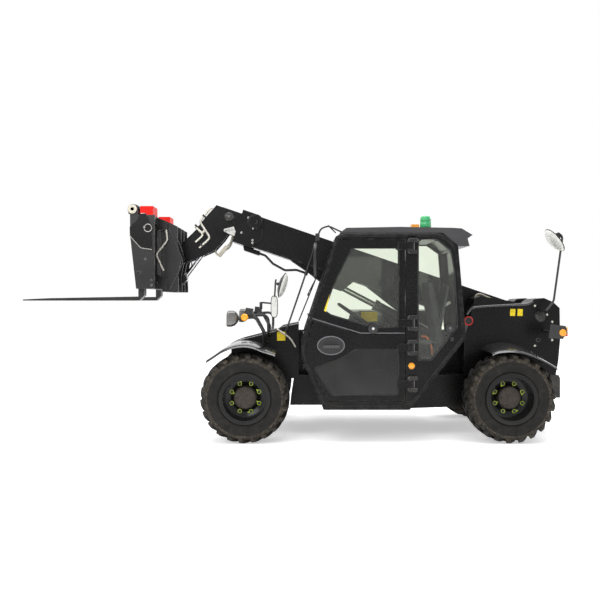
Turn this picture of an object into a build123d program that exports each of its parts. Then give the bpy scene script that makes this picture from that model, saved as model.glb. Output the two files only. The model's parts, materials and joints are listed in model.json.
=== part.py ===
"""Compact telescopic handler with a rigid chassis, side cab, telescopic boom and fork frame.

Row frame, millimetres: +X runs to the tail, +Y to the engine side, +Z up. The wheels stand on
z = 0 and the middle of the wheels' and forks' length is x = 0. Lengths along the boom are given
as (u, v): u from the boom's pivot towards the forks, v square to the boom and upwards.
"""
import os
from math import atan2, cos, degrees, hypot, pi, radians, sin

from build123d import *

os.makedirs("parts", exist_ok=True)

# ---------------------------------------------------------------- clearances
RUN = 0.3            # running gap at pins, rods and wear pads
SEAT = 0.3           # gap between a pane and its rebate
SWING = 6.0          # gap round doors, lids and between moving plates

# ---------------------------------------------------------------- wheels and axles
WHEELBASE = 2430
FRONT_AXLE_X = -432
REAR_AXLE_X = FRONT_AXLE_X + WHEELBASE
TYRE_OD = 820
TYRE_W = 300
AXLE_Z = TYRE_OD / 2
BEAD_R = 215         # tyre's seat on the rim
RIM_W = 260          # between the rim's flanges
FLANGE_T = 12
FLANGE_R = 238
RIM_T = 14
WHEEL_Y = 770        # middle plane of a wheel
DISC_Y = 752         # outer face of the hub, where the wheel disc bolts on
DISC_T = 16
HUB_R = 106
HUB_OUT = 78         # how far the planetary hub stands out of the disc
STUD_PCD = 275
STUD_COUNT = 8
KINGPIN_Y = 650
KINGPIN_R = 22
SPINDLE_R = 45
BEAM_R = 78
BEAM_END_Y = 565
DIFF_R = 132

# ---------------------------------------------------------------- chassis
TROUGH_Y = 150       # inner face of the plates beside the boom
PLATE_T = 20
FRAME_Y = 380
TOWER_Y = 435
BELLY_Z = 270
FLOOR_Z = 580        # floor of the boom's trough
BRIDGE_T = 35
NOSE_X = -600
TAIL_X = 2596
TAIL_BLOCK_X = 2500  # where the cast weight meets the frame's tail
TAIL_BLOCK_Z = 362
AXLE_GAP = 160       # half the opening left for the rear axle
TOW_PIN_R = 16
TOW_PIN_X = 2556
TOW_JAW_Y = 70       # half width of the jaw that takes a drawbar
TOW_JAW_Z = (410, 530)

# ---------------------------------------------------------------- boom
PIVOT = (2400, 1150)
BOOM_DEG = 18.8
PIVOT_PIN_R = 40
OUTER_Y = 120
OUTER_V = (-245, 69)
OUTER_U = 3093
WALL_T = 8
CAP_T = 10           # top and bottom plates of the outer boom
INNER_Y = 98
INNER_V = (-195, 42)
INNER_U = (493, 3372)
INNER_WALL_T = 8
PAD_LENGTH = 120

# ---------------------------------------------------------------- rams
LIFT_BASE = (1950, 680)
LIFT_EYE_UV = (1950, -332)
LIFT_ROD_R = 30
LIFT_BARREL_R = 52
LIFT_BARREL_LENGTH = 1260
LIFT_ROD_LENGTH = 1350
LIFT_PIN_R = 30
TILT_BASE_UV = (3208, -29)
TILT_EYE = (-1110, 1536)
TILT_ROD_R = 22
TILT_BARREL_R = 42
TILT_BARREL_LENGTH = 440
TILT_ROD_LENGTH = 470
TILT_PIN_R = 20

# ---------------------------------------------------------------- hitch, fork frame and forks
HITCH_PIN = (-1195, 1717)
HITCH_PIN_R = 25
NECK_Y = (60, 75)
HITCH_IN_Y = (82, 106)
HITCH_OUT_Y = (300, 320)
EAR_Y = (35, 53)
FORK_SHAFT = (-1520, 2174)
FORK_SHAFT_R = 30
FORK_EYE_R = 56
FORK_W = 100
FORK_T = 40
FORK_Y = 440
FORK_BACK_X = -1427
FORK_FRONT_X = -1485
FORK_UNDER_Z = 1304
FORK_TIP_X = -2596
FRAME_END_Y = (560, 580)
RAIL_Z = (1417, 1487)

# ---------------------------------------------------------------- cab
CAB_OUT_Y = -880
CAB_IN_Y = -(TROUGH_Y + PLATE_T)
CAB_WALL = 42
GLASS_T = 6
DOOR_HINGE = (1077, -905)
PILLAR_X = (1035, 1136)

# ---------------------------------------------------------------- engine side
POD_X = (640, 1490)
POD_Y = 890
POD_SPLIT_Z = 885    # where the bonnet meets the pod
POD_Z = 400
SHEET_T = 15
BONNET_HINGE = (190, 1185)

BOOM_A = radians(BOOM_DEG)


def at_boom(u, v):
    """Row-frame (x, z) of a point given along and square to the boom."""
    return (PIVOT[0] - u * cos(BOOM_A) + v * sin(BOOM_A),
            PIVOT[1] + u * sin(BOOM_A) + v * cos(BOOM_A))


def row_plane(y):
    """Plane of the machine's side view at a given y; extrudes towards -Y."""
    return Plane(origin=(0, y, 0), x_dir=(1, 0, 0), z_dir=(0, -1, 0))


def boom_plane(y):
    """Side-view plane along the boom at a given y; extrudes towards +Y."""
    return Plane(origin=(PIVOT[0], y, PIVOT[1]),
                 x_dir=(-cos(BOOM_A), 0, sin(BOOM_A)), z_dir=(0, 1, 0))


def outline(points, plane, radius=0):
    """Closed outline of straight edges, all its corners rounded when a radius is given."""
    with BuildSketch(plane) as sketch:
        with BuildLine():
            Polyline(*points, close=True)
        make_face()
        if radius:
            fillet(sketch.vertices(), radius)
    return sketch.sketch


def circle_on(plane, centre, radius):
    with BuildSketch(plane) as sketch:
        with Locations(centre):
            Circle(radius)
    return sketch.sketch


def slab(points, y_low, y_high, radius=0, mode=Mode.ADD):
    """Side-view outline in row (x, z), as thick as the two y values say."""
    extrude(outline(points, row_plane(y_high), radius), amount=y_high - y_low, mode=mode)


def boom_slab(points, y_low, y_high, radius=0, mode=Mode.ADD):
    """Side-view outline in boom (u, v), as thick as the two y values say."""
    extrude(outline(points, boom_plane(y_low), radius), amount=y_high - y_low, mode=mode)


def disc(centre, radius, y_low, y_high, mode=Mode.ADD):
    """Cylinder along Y at a row (x, z)."""
    extrude(circle_on(row_plane(y_high), centre, radius), amount=y_high - y_low, mode=mode)


def boom_disc(centre, radius, y_low, y_high, mode=Mode.ADD):
    """Cylinder along Y at a boom (u, v)."""
    extrude(circle_on(boom_plane(y_low), centre, radius), amount=y_high - y_low, mode=mode)


def bar(start, end, radius, mode=Mode.ADD):
    """Round bar between two row points."""
    run = Vector(*end) - Vector(*start)
    extrude(circle_on(Plane(origin=start, z_dir=run), (0, 0), radius), amount=run.length, mode=mode)


def block(x, y, z, mode=Mode.ADD):
    """Box from its low and high x, y and z."""
    with Locations(((x[0] + x[1]) / 2, (y[0] + y[1]) / 2, (z[0] + z[1]) / 2)):
        Box(x[1] - x[0], y[1] - y[0], z[1] - z[0], mode=mode)


def both_sides(y_low, y_high):
    """The pair of y ranges that a left and a right plate take."""
    return ((-y_high, -y_low), (y_low, y_high))


def box_outline(x, z):
    return [(x[0], z[0]), (x[1], z[0]), (x[1], z[1]), (x[0], z[1])]


def save(builder, label):
    builder.part.label = label
    export_step(builder.part, f"parts/{label}.step")


# ================================================================ chassis
# Side view of the box beams: the nose slopes down to the front, the belly hangs between the axles.
NOSE_OUTLINE = [
    (NOSE_X, FLOOR_Z), (NOSE_X, 850), (-493, 922), (-167, 1004), (-103, 1046), (60, 1080), (60, FLOOR_Z),
]
BELLY_OUTLINE = [
    (-25, BELLY_Z + 14), (296, BELLY_Z + 14), (1154, BELLY_Z - 18), (1602, BELLY_Z - 3),
    (REAR_AXLE_X - AXLE_GAP, BELLY_Z + 40), (REAR_AXLE_X - AXLE_GAP, FLOOR_Z), (20, FLOOR_Z), (60, 660 - 80),
]
PANEL_OUTLINE = [
    (1664, FLOOR_Z), (1664, 922), (1771, 1329), (1819, 1349), (2285, 1271), (2344, 1320), (2441, 1329),
    (2528, 1291), (2591, 1232), (TAIL_X, 922), (2577, 708), (2552, FLOOR_Z),
]
TROUGH_TOP_Z = 1000
LIFT_EAR_Y = (58, 84)

with BuildPart() as chassis:
    slab(BELLY_OUTLINE[:7], -FRAME_Y, FRAME_Y)
    # Bridges over the two axles, and the tail block behind the rear one.
    block((NOSE_X, 60), (-FRAME_Y, FRAME_Y), (FLOOR_Z - BRIDGE_T, FLOOR_Z))
    block((REAR_AXLE_X - AXLE_GAP, TAIL_BLOCK_X), (-FRAME_Y, FRAME_Y), (FLOOR_Z - BRIDGE_T, FLOOR_Z))
    slab([(REAR_AXLE_X + AXLE_GAP, 340), (TAIL_BLOCK_X - 22, 340), (TAIL_BLOCK_X, TAIL_BLOCK_Z),
          (TAIL_BLOCK_X, FLOOR_Z), (REAR_AXLE_X + AXLE_GAP, FLOOR_Z)], -FRAME_Y, FRAME_Y)
    for low, high in both_sides(TROUGH_Y, FRAME_Y):
        slab(NOSE_OUTLINE, low, high)
    for low, high in both_sides(TROUGH_Y, TOWER_Y):
        slab(PANEL_OUTLINE, low, high)
    for low, high in both_sides(TROUGH_Y, TROUGH_Y + PLATE_T):
        block((60, 1700), (low, high), (FLOOR_Z, TROUGH_TOP_Z))
    # Cross wall at the tail between the towers.
    block((TAIL_BLOCK_X - 50, TAIL_BLOCK_X), (-TROUGH_Y, TROUGH_Y), (FLOOR_Z, 800))
    # Ears of the lift ram.
    for low, high in both_sides(*LIFT_EAR_Y):
        slab([(LIFT_BASE[0] - 110, FLOOR_Z), (LIFT_BASE[0] + 110, FLOOR_Z),
              (LIFT_BASE[0] + 60, LIFT_BASE[1]), (LIFT_BASE[0] - 60, LIFT_BASE[1])], low, high)
        disc(LIFT_BASE, 60, low, high)
    disc(LIFT_BASE, LIFT_PIN_R + RUN, -TROUGH_Y + 1, TROUGH_Y - 1, mode=Mode.SUBTRACT)
    disc(PIVOT, PIVOT_PIN_R + RUN, -TOWER_Y, TOWER_Y, mode=Mode.SUBTRACT)
save(chassis, "chassis")

with BuildPart() as boom_pivot_pin:
    disc(PIVOT, PIVOT_PIN_R, -(TOWER_Y + 14), TOWER_Y + 14)
    for low, high in both_sides(TOWER_Y, TOWER_Y + 10):
        disc(PIVOT, PIVOT_PIN_R + 12, low, high)
save(boom_pivot_pin, "boom_pivot_pin")

# Cast weight across the tail, with the jaw and the pin bore of the tow hitch.
with BuildPart() as counterweight:
    slab([(TAIL_BLOCK_X, TAIL_BLOCK_Z), (TAIL_X, TAIL_BLOCK_Z), (TAIL_X, FLOOR_Z - 28), (TAIL_X - 12, FLOOR_Z),
          (TAIL_BLOCK_X, FLOOR_Z)], -TOWER_Y, TOWER_Y)
    block((TAIL_BLOCK_X + 10, TAIL_X + 1), (-TOW_JAW_Y, TOW_JAW_Y), TOW_JAW_Z, mode=Mode.SUBTRACT)
    with Locations((TOW_PIN_X, 0, (TAIL_BLOCK_Z + FLOOR_Z) / 2)):
        Cylinder(TOW_PIN_R, FLOOR_Z - TAIL_BLOCK_Z + 2, mode=Mode.SUBTRACT)
save(counterweight, "counterweight")

# ================================================================ axles
for name, axle_x in (("front_axle", FRONT_AXLE_X), ("rear_axle", REAR_AXLE_X)):
    with BuildPart() as axle:
        disc((axle_x, AXLE_Z), BEAM_R, -BEAM_END_Y, BEAM_END_Y)
        with BuildSketch(Plane.YZ.offset(axle_x)) as half_housing:
            with BuildLine():
                Polyline((-190, AXLE_Z), (-190, AXLE_Z + BEAM_R), (-110, AXLE_Z + DIFF_R),
                         (110, AXLE_Z + DIFF_R), (190, AXLE_Z + BEAM_R), (190, AXLE_Z), close=True)
            make_face()
        revolve(axis=Axis((axle_x, 0, AXLE_Z), (0, 1, 0)))
        for side in (-1, 1):
            # Spring-less seats under the frame, and the yoke round the kingpin.
            block((axle_x - 85, axle_x + 85), sorted((side * 230, side * 330)),
                  (AXLE_Z, FLOOR_Z - BRIDGE_T))
            block((axle_x - 52, axle_x + 52), sorted((side * (BEAM_END_Y - 30), side * (BEAM_END_Y + 15))),
                  (AXLE_Z - 118, AXLE_Z + 118))
            for z_low in (AXLE_Z - 118, AXLE_Z + 92):
                block((axle_x - 48, axle_x + 48), sorted((side * (BEAM_END_Y + 15), side * (KINGPIN_Y + 38))),
                      (z_low, z_low + 26))
            with Locations((axle_x, side * KINGPIN_Y, AXLE_Z)):
                Cylinder(KINGPIN_R + RUN, 300, mode=Mode.SUBTRACT)
    save(axle, name)

WHEELS = (  # name, axle x, side
    ("front_left", FRONT_AXLE_X, -1),
    ("front_right", FRONT_AXLE_X, 1),
    ("rear_left", REAR_AXLE_X, -1),
    ("rear_right", REAR_AXLE_X, 1),
)


def across(plane_x, side, points):
    """Half section of a turned piece: (radius, distance from y = 0) pairs round the wheel's axis."""
    plane = Plane(origin=(plane_x, 0, AXLE_Z), x_dir=(0, side, 0), z_dir=(side, 0, 0))
    with BuildSketch(plane) as section:
        with BuildLine():
            Polyline(*[(y, r) for r, y in points], close=True)
        make_face()
    return section.sketch


for name, axle_x, side in WHEELS:
    spin = Axis((axle_x, 0, AXLE_Z), (0, 1, 0))
    with BuildPart() as knuckle:
        with Locations((axle_x, side * KINGPIN_Y, AXLE_Z)):
            Cylinder(KINGPIN_R, 2 * 122)
            Cylinder(58, 2 * 86)
        revolve(across(axle_x, side, [(0, KINGPIN_Y - 20), (70, KINGPIN_Y - 20), (70, KINGPIN_Y + 62),
                                      (SPINDLE_R, KINGPIN_Y + 62), (SPINDLE_R, DISC_Y - 8), (0, DISC_Y - 8)]),
                axis=spin)
    save(knuckle, f"knuckle_{name}")

    rim_in = WHEEL_Y - RIM_W / 2
    rim_out = WHEEL_Y + RIM_W / 2
    with BuildPart() as rim:
        # Rim barrel with its two flanges.
        revolve(across(axle_x, side, [
            (BEAD_R - RIM_T, rim_in - FLANGE_T), (FLANGE_R, rim_in - FLANGE_T), (FLANGE_R, rim_in),
            (BEAD_R, rim_in), (BEAD_R, rim_out), (FLANGE_R, rim_out), (FLANGE_R, rim_out + FLANGE_T),
            (BEAD_R - RIM_T, rim_out + FLANGE_T)]), axis=spin)
        # Dished disc, planetary hub outside it and hub sleeve on the spindle inside it.
        revolve(across(axle_x, side, [
            (0, DISC_Y), (HUB_R + 10, DISC_Y), (BEAD_R - RIM_T - 20, DISC_Y + 28), (BEAD_R - RIM_T, DISC_Y + 28),
            (BEAD_R - RIM_T, DISC_Y + 28 + DISC_T), (BEAD_R - RIM_T - 28, DISC_Y + 28 + DISC_T),
            (HUB_R + 4, DISC_Y + DISC_T), (HUB_R, DISC_Y + DISC_T), (HUB_R - 4, DISC_Y + HUB_OUT - 14),
            (HUB_R - 22, DISC_Y + HUB_OUT), (0, DISC_Y + HUB_OUT)]), axis=spin)
        revolve(across(axle_x, side, [
            (SPINDLE_R + RUN, KINGPIN_Y + 68), (96, KINGPIN_Y + 68), (104, KINGPIN_Y + 80),
            (104, DISC_Y), (SPINDLE_R + RUN, DISC_Y)]), axis=spin)
    save(rim, f"rim_{name}")

    with BuildPart() as tyre:
        half = TYRE_W / 2
        revolve(across(axle_x, side, [
            (BEAD_R, rim_in), (BEAD_R + 24, rim_in), (BEAD_R + 70, WHEEL_Y - half),
            (TYRE_OD / 2 - 70, WHEEL_Y - half), (TYRE_OD / 2 - 14, WHEEL_Y - half + 12),
            (TYRE_OD / 2, WHEEL_Y - half + 40), (TYRE_OD / 2, WHEEL_Y + half - 40),
            (TYRE_OD / 2 - 14, WHEEL_Y + half - 12), (TYRE_OD / 2 - 70, WHEEL_Y + half),
            (BEAD_R + 70, WHEEL_Y + half), (BEAD_R + 24, rim_out), (BEAD_R, rim_out)]), axis=spin)
    save(tyre, f"tyre_{name}")

# ================================================================ boom
BOOM_ROOT_R = 105
SLOT_U = (1480, 2090)       # opening in the bottom plate for the lift ram
SLOT_Y = 74
LIFT_CHEEK_Y = (76, 92)
COLLAR_U = (2850, OUTER_U)
COLLAR_Y = 134
LIFT_CHEEKS = [(2480, OUTER_V[0]), (2270, -305), (2060, -376), (1880, -376), (1797, OUTER_V[0])]
HOSE_START = (2800, -281)
HOSE_END = (2300, -318)
FRONT_LUG = [(1661, OUTER_V[0]), (1300, -370), (1230, -385), (1180, -350), (1150, OUTER_V[0])]

with BuildPart() as boom_outer:
    boom_slab([(260, OUTER_V[0]), (OUTER_U, OUTER_V[0]), (OUTER_U, OUTER_V[1]), (60, OUTER_V[1])],
              -OUTER_Y, OUTER_Y)
    # Cheeks of the root run back round the pivot.
    boom_slab([(280, OUTER_V[0]), (280, OUTER_V[1]), (40, OUTER_V[1]), (-60, 66), (-96, 0), (-84, -60), (0, -105)],
              -OUTER_Y, OUTER_Y)
    boom_disc((0, 0), BOOM_ROOT_R, -OUTER_Y, OUTER_Y)
    boom_slab([(INNER_U[0] - 160, OUTER_V[0] + CAP_T), (OUTER_U, OUTER_V[0] + CAP_T),
               (OUTER_U, OUTER_V[1] - CAP_T), (INNER_U[0] - 160, OUTER_V[1] - CAP_T)],
              -OUTER_Y + WALL_T, OUTER_Y - WALL_T, mode=Mode.SUBTRACT)
    # Hollow root between its cheeks.
    boom_slab([(140, OUTER_V[0] + 60), (INNER_U[0] - 180, OUTER_V[0] + CAP_T),
               (INNER_U[0] - 180, OUTER_V[1] - CAP_T), (140, OUTER_V[1] - CAP_T)],
              -OUTER_Y + WALL_T, OUTER_Y - WALL_T, mode=Mode.SUBTRACT)
    boom_disc((0, 0), 75, -(TROUGH_Y - SWING), TROUGH_Y - SWING)
    boom_disc((0, 0), PIVOT_PIN_R + RUN, -TROUGH_Y, TROUGH_Y, mode=Mode.SUBTRACT)
    # Doubler collar round the front end.
    for low, high in both_sides(OUTER_Y, COLLAR_Y):
        boom_slab([(COLLAR_U[0] + 40, OUTER_V[0] - 14), (OUTER_U, OUTER_V[0] - 14), (OUTER_U, OUTER_V[1] + 12),
                   (COLLAR_U[0] + 90, OUTER_V[1] + 12), (COLLAR_U[0], OUTER_V[1] - 70),
                   (COLLAR_U[0] - 30, OUTER_V[0] + 110)], low, high, radius=20)
    for v in ((OUTER_V[0] - 14, OUTER_V[0]), (OUTER_V[1], OUTER_V[1] + 12)):
        boom_slab(box_outline((COLLAR_U[0] + 110, OUTER_U), v), -COLLAR_Y, COLLAR_Y)
    # Cheeks of the lift ram under the boom, with the ram's slot between them.
    for low, high in both_sides(*LIFT_CHEEK_Y):
        boom_slab(LIFT_CHEEKS, low, high)
    boom_slab(box_outline(SLOT_U, (OUTER_V[0] - 1, OUTER_V[0] + CAP_T + 1)), -SLOT_Y, SLOT_Y, mode=Mode.SUBTRACT)
    boom_slab(FRONT_LUG, 84, 104)
    # Block that guides the hoses under the collar, and the clamp at the loop's other end.
    boom_slab([(HOSE_START[0], OUTER_V[0] - 14), (2985, OUTER_V[0] - 14), (2960, -304),
               (HOSE_START[0], -304)], -60, 60)
    boom_slab(box_outline((HOSE_END[0] - 34, HOSE_END[0]), (HOSE_END[1] - 22, OUTER_V[0])), -26, 26)
save(boom_outer, "boom_outer")

# Wear pads fill the space between the two boom sections at the collar.
with BuildPart() as wear_pads:
    for u_low in (OUTER_U - PAD_LENGTH - 6, COLLAR_U[0] - 400):
        u = (u_low, u_low + PAD_LENGTH)
        boom_slab(box_outline(u, (OUTER_V[0] + CAP_T, INNER_V[0] - RUN)), -70, 70)
        boom_slab(box_outline(u, (INNER_V[1] + RUN, OUTER_V[1] - CAP_T)), -70, 70)
        for low, high in both_sides(INNER_Y + RUN, OUTER_Y - WALL_T):
            boom_slab(box_outline(u, (-130, -10)), low, high)
save(wear_pads, "wear_pads")

NECK_OUTLINE = [
    (3280, INNER_V[1]), (INNER_U[1], INNER_V[1]), (3463, -178), (3485, -258), (3576, -434), (3640, -560),
    (3644, -640), (3600, -680), (3540, -664), (3389, -541), (3238, -402), (3183, -274), (3160, INNER_V[0]),
    (3110, INNER_V[0]), (3110, INNER_V[1]),
]

with BuildPart() as boom_inner:
    boom_slab(box_outline((INNER_U[0], 3300), INNER_V), -INNER_Y, INNER_Y)
    boom_slab(box_outline((INNER_U[0], 3060), (INNER_V[0] + INNER_WALL_T, INNER_V[1] - INNER_WALL_T)),
              -INNER_Y + INNER_WALL_T, INNER_Y - INNER_WALL_T, mode=Mode.SUBTRACT)
    # The head opens downwards for the tilt ram.
    boom_slab([(3100, INNER_V[0] - 10), (3320, INNER_V[0] - 10), (3320, INNER_V[1] - 14), (3100, INNER_V[1] - 14)],
              -NECK_Y[0], NECK_Y[0], mode=Mode.SUBTRACT)
    for low, high in both_sides(*NECK_Y):
        boom_slab(NECK_OUTLINE, low, high)
    # Closing plate along the top of the neck.
    boom_slab([(3290, INNER_V[1] - 14), (3364, INNER_V[1] - 14), (3451, -180), (3473, -262), (3560, -436),
               (3572, -429), (3487, -253), (3465, -172), (INNER_U[1], INNER_V[1]), (3290, INNER_V[1])],
              -NECK_Y[0], NECK_Y[0])
    # Bosses of the tilt ram's base pin and of the hitch pin.
    for low, high in both_sides(NECK_Y[1], INNER_Y + 10):
        boom_disc(TILT_BASE_UV, 47, low, high)
    hitch_uv = (-(HITCH_PIN[0] - PIVOT[0]) * cos(BOOM_A) + (HITCH_PIN[1] - PIVOT[1]) * sin(BOOM_A),
                (HITCH_PIN[0] - PIVOT[0]) * sin(BOOM_A) + (HITCH_PIN[1] - PIVOT[1]) * cos(BOOM_A))
    boom_disc(hitch_uv, 55, -NECK_Y[1] - 3, NECK_Y[1] + 3)
    boom_disc(hitch_uv, HITCH_PIN_R + RUN, -NECK_Y[1] - 5, NECK_Y[1] + 5, mode=Mode.SUBTRACT)
    boom_disc(TILT_BASE_UV, TILT_PIN_R + RUN, -INNER_Y - 12, INNER_Y + 12, mode=Mode.SUBTRACT)
save(boom_inner, "boom_inner")


# ================================================================ rams
def ram_plane(base, eye, distance):
    """Plane square to a ram, at a distance from its base pin."""
    run = Vector(eye[0] - base[0], 0, eye[1] - base[1]).normalized()
    origin = Vector(base[0], 0, base[1]) + run * distance
    return Plane(origin=origin, z_dir=run)


def ram_stage(base, eye, start, end, radius, mode=Mode.ADD):
    extrude(circle_on(ram_plane(base, eye, start), (0, 0), radius), amount=end - start, mode=mode)


LIFT_EYE = at_boom(*LIFT_EYE_UV)
TILT_BASE = at_boom(*TILT_BASE_UV)

RAMS = (  # name, base, eye, barrel radius, barrel length, rod radius, rod length, pin radius, half eye width,
          # half length of base pin, base eye radius, rod eye radius, half length of eye pin
    ("lift", LIFT_BASE, LIFT_EYE, LIFT_BARREL_R, LIFT_BARREL_LENGTH, LIFT_ROD_R, LIFT_ROD_LENGTH, LIFT_PIN_R,
     LIFT_EAR_Y[0] - 3, LIFT_EAR_Y[1], 58, 38, LIFT_CHEEK_Y[0] - 5),
    ("tilt", TILT_BASE, TILT_EYE, TILT_BARREL_R, TILT_BARREL_LENGTH, TILT_ROD_R, TILT_ROD_LENGTH, TILT_PIN_R,
     30, INNER_Y + 10, 46, 36, EAR_Y[0] - 1),
)

for (name, base, eye, barrel_r, barrel_length, rod_r, rod_length, pin_r, eye_half, pin_half, base_r, eye_r,
     eye_pin_half) in RAMS:
    length = hypot(eye[0] - base[0], eye[1] - base[1])
    with BuildPart() as barrel:
        disc(base, base_r, -eye_half, eye_half)
        ram_stage(base, eye, base_r * 0.6, barrel_length, barrel_r)
        ram_stage(base, eye, barrel_length - 46, barrel_length, barrel_r + 6)
        ram_stage(base, eye, base_r + 4, barrel_length + 5, rod_r + RUN, mode=Mode.SUBTRACT)
        disc(base, pin_r, -pin_half, pin_half)
    save(barrel, f"{name}_barrel")
    with BuildPart() as rod:
        ram_stage(base, eye, length - rod_length, length - eye_r / 2, rod_r)
        disc(eye, eye_r, -min(eye_half, rod_r + 12), min(eye_half, rod_r + 12))
        disc(eye, pin_r * 0.8, -eye_pin_half, eye_pin_half)
    save(rod, f"{name}_rod")

# ================================================================ hitch and fork frame
HITCH_OUTLINE = [
    (-1330, 2060), (-1275, 2094), (-1205, 2069), (-1134, 2034), (-1134, 1883), (-1099, 1712), (-1130, 1560),
    (-1124, 1441), (-1124, 1390), (-1285, 1390), (-1285, 1480), (-1262, 1560), (-1262, 2000),
]
HITCH_TUBE = (-1245, 2040)
HITCH_BOX = ((-1285, -1200), (1395, 1480))
UPPER_RAIL = ((-1400, -1330), (2050, 2120))

with BuildPart() as hitch:
    for low, high in both_sides(*HITCH_IN_Y):
        slab(HITCH_OUTLINE, low, high)
        disc(HITCH_PIN, 60, low, high)
    for low, high in both_sides(*HITCH_OUT_Y):
        slab(HITCH_OUTLINE, low, high)
    disc(HITCH_TUBE, 35, -HITCH_OUT_Y[1], HITCH_OUT_Y[1])
    block(HITCH_BOX[0], (-HITCH_OUT_Y[1], HITCH_OUT_Y[1]), HITCH_BOX[1])
    # Ears that take the tilt ram's rod.
    for low, high in both_sides(*EAR_Y):
        slab([(HITCH_BOX[0][0], HITCH_BOX[1][0]), (HITCH_BOX[0][1], HITCH_BOX[1][0]),
              (TILT_EYE[0] + 30, TILT_EYE[1] - 22), (TILT_EYE[0] + 10, TILT_EYE[1] + 34),
              (TILT_EYE[0] - 20, TILT_EYE[1] + 34), (HITCH_BOX[0][1], HITCH_BOX[1][1] + 40),
              (HITCH_BOX[0][0], HITCH_BOX[1][1])], low, high)
    disc(HITCH_PIN, HITCH_PIN_R, -HITCH_IN_Y[1] - 12, HITCH_IN_Y[1] + 12)
save(hitch, "hitch")

END_OUTLINE = [
    (-1545, 2137), (-1480, 2120), (-1309, 2120), (-1309, RAIL_Z[0]), (-1487, RAIL_Z[0]), (-1544, 1919),
]
with BuildPart() as fork_frame:
    for low, high in both_sides(*FRAME_END_Y):
        slab(END_OUTLINE, low, high)
        disc(FORK_SHAFT, 48, low, high)
        slab([(-1560, 2130), (-1470, 2110), (-1470, 2180), (-1560, 2180)], low, high)
    disc(FORK_SHAFT, FORK_SHAFT_R, -FRAME_END_Y[1] - 12, FRAME_END_Y[1] + 12)
    disc(FORK_SHAFT, FORK_SHAFT_R - 15, -FRAME_END_Y[1] - 12, FRAME_END_Y[1] + 12, mode=Mode.SUBTRACT)
    block((FORK_BACK_X + RUN, -1330), (-FRAME_END_Y[1], FRAME_END_Y[1]), RAIL_Z)
    block(UPPER_RAIL[0], (-FRAME_END_Y[1], FRAME_END_Y[1]), UPPER_RAIL[1])
    # Uprights between the rails, seated on the hitch's outer plates.
    for low, high in both_sides(HITCH_OUT_Y[1], HITCH_OUT_Y[1] + 20):
        slab([(-1400, RAIL_Z[0]), (-1230, RAIL_Z[0]), (-1230, 1520), (-1330, 1560), (-1330, 1990),
              (-1230, 2010), (-1230, 2080), (-1330, UPPER_RAIL[1][1]), (-1400, UPPER_RAIL[1][1])], low, high)
save(fork_frame, "fork_frame")

with BuildPart() as frame_caps:
    for low, high in both_sides(353, FRAME_END_Y[1]):
        block((-1448, -1326), (low, high), (UPPER_RAIL[1][1], 2204))
save(frame_caps, "frame_caps")

for name, side in (("fork_left", -1), ("fork_right", 1)):
    low, high = side * FORK_Y - FORK_W / 2, side * FORK_Y + FORK_W / 2
    with BuildPart() as fork:
        slab([(FORK_BACK_X, 2060), (FORK_BACK_X, FORK_UNDER_Z + 50), (FORK_BACK_X - 50, FORK_UNDER_Z),
              (FORK_TIP_X, FORK_UNDER_Z), (FORK_TIP_X, FORK_UNDER_Z + 12), (FORK_TIP_X + 260, FORK_UNDER_Z + 24),
              (FORK_FRONT_X, FORK_UNDER_Z + FORK_T), (FORK_FRONT_X, 2060), (-1540, 2120), (-1470, 2150)],
             low, high)
        disc(FORK_SHAFT, FORK_EYE_R, low, high)
        disc(FORK_SHAFT, FORK_SHAFT_R + RUN, low, high, mode=Mode.SUBTRACT)
    save(fork, name)

# ================================================================ cab
CAB_OUTLINE = [
    (287, 308), (1071, 308), (1582, 958), (1582, 1018), (1513, 1807), (1374, 1922), (455, 1922), (397, 1888),
    (84, 946), (90, 772),
]
DOOR_OPENING = [
    (418, 1866), (PILLAR_X[0], 1872), (PILLAR_X[0], 384), (335, 384), (99, 772), (143, 946), (190, 1133),
]
QUARTER_OPENING = [(1147, 1857), (1320, 1866), (1448, 1766), (1484, 1583), (1511, 1064), (1275, 760), (1147, 760)]
DOOR_SPLIT = ((150, 1143), (623, 1000), (PILLAR_X[0] + 10, 1000))
CAB_STEP_Y = -FRAME_Y
WELL_END_X = 900     # the foot well ends under the seat's front edge


def inset(points, plane, amount):
    """Outline drawn in from its edges by an amount."""
    with BuildSketch(plane) as sketch:
        with BuildLine():
            Polyline(*points, close=True)
        make_face()
        offset(amount=-amount, kind=Kind.INTERSECTION)
    return sketch.sketch


def inset_slab(points, amount, y_low, y_high, mode=Mode.ADD):
    extrude(inset(points, row_plane(y_high), amount), amount=y_high - y_low, mode=mode)


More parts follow.
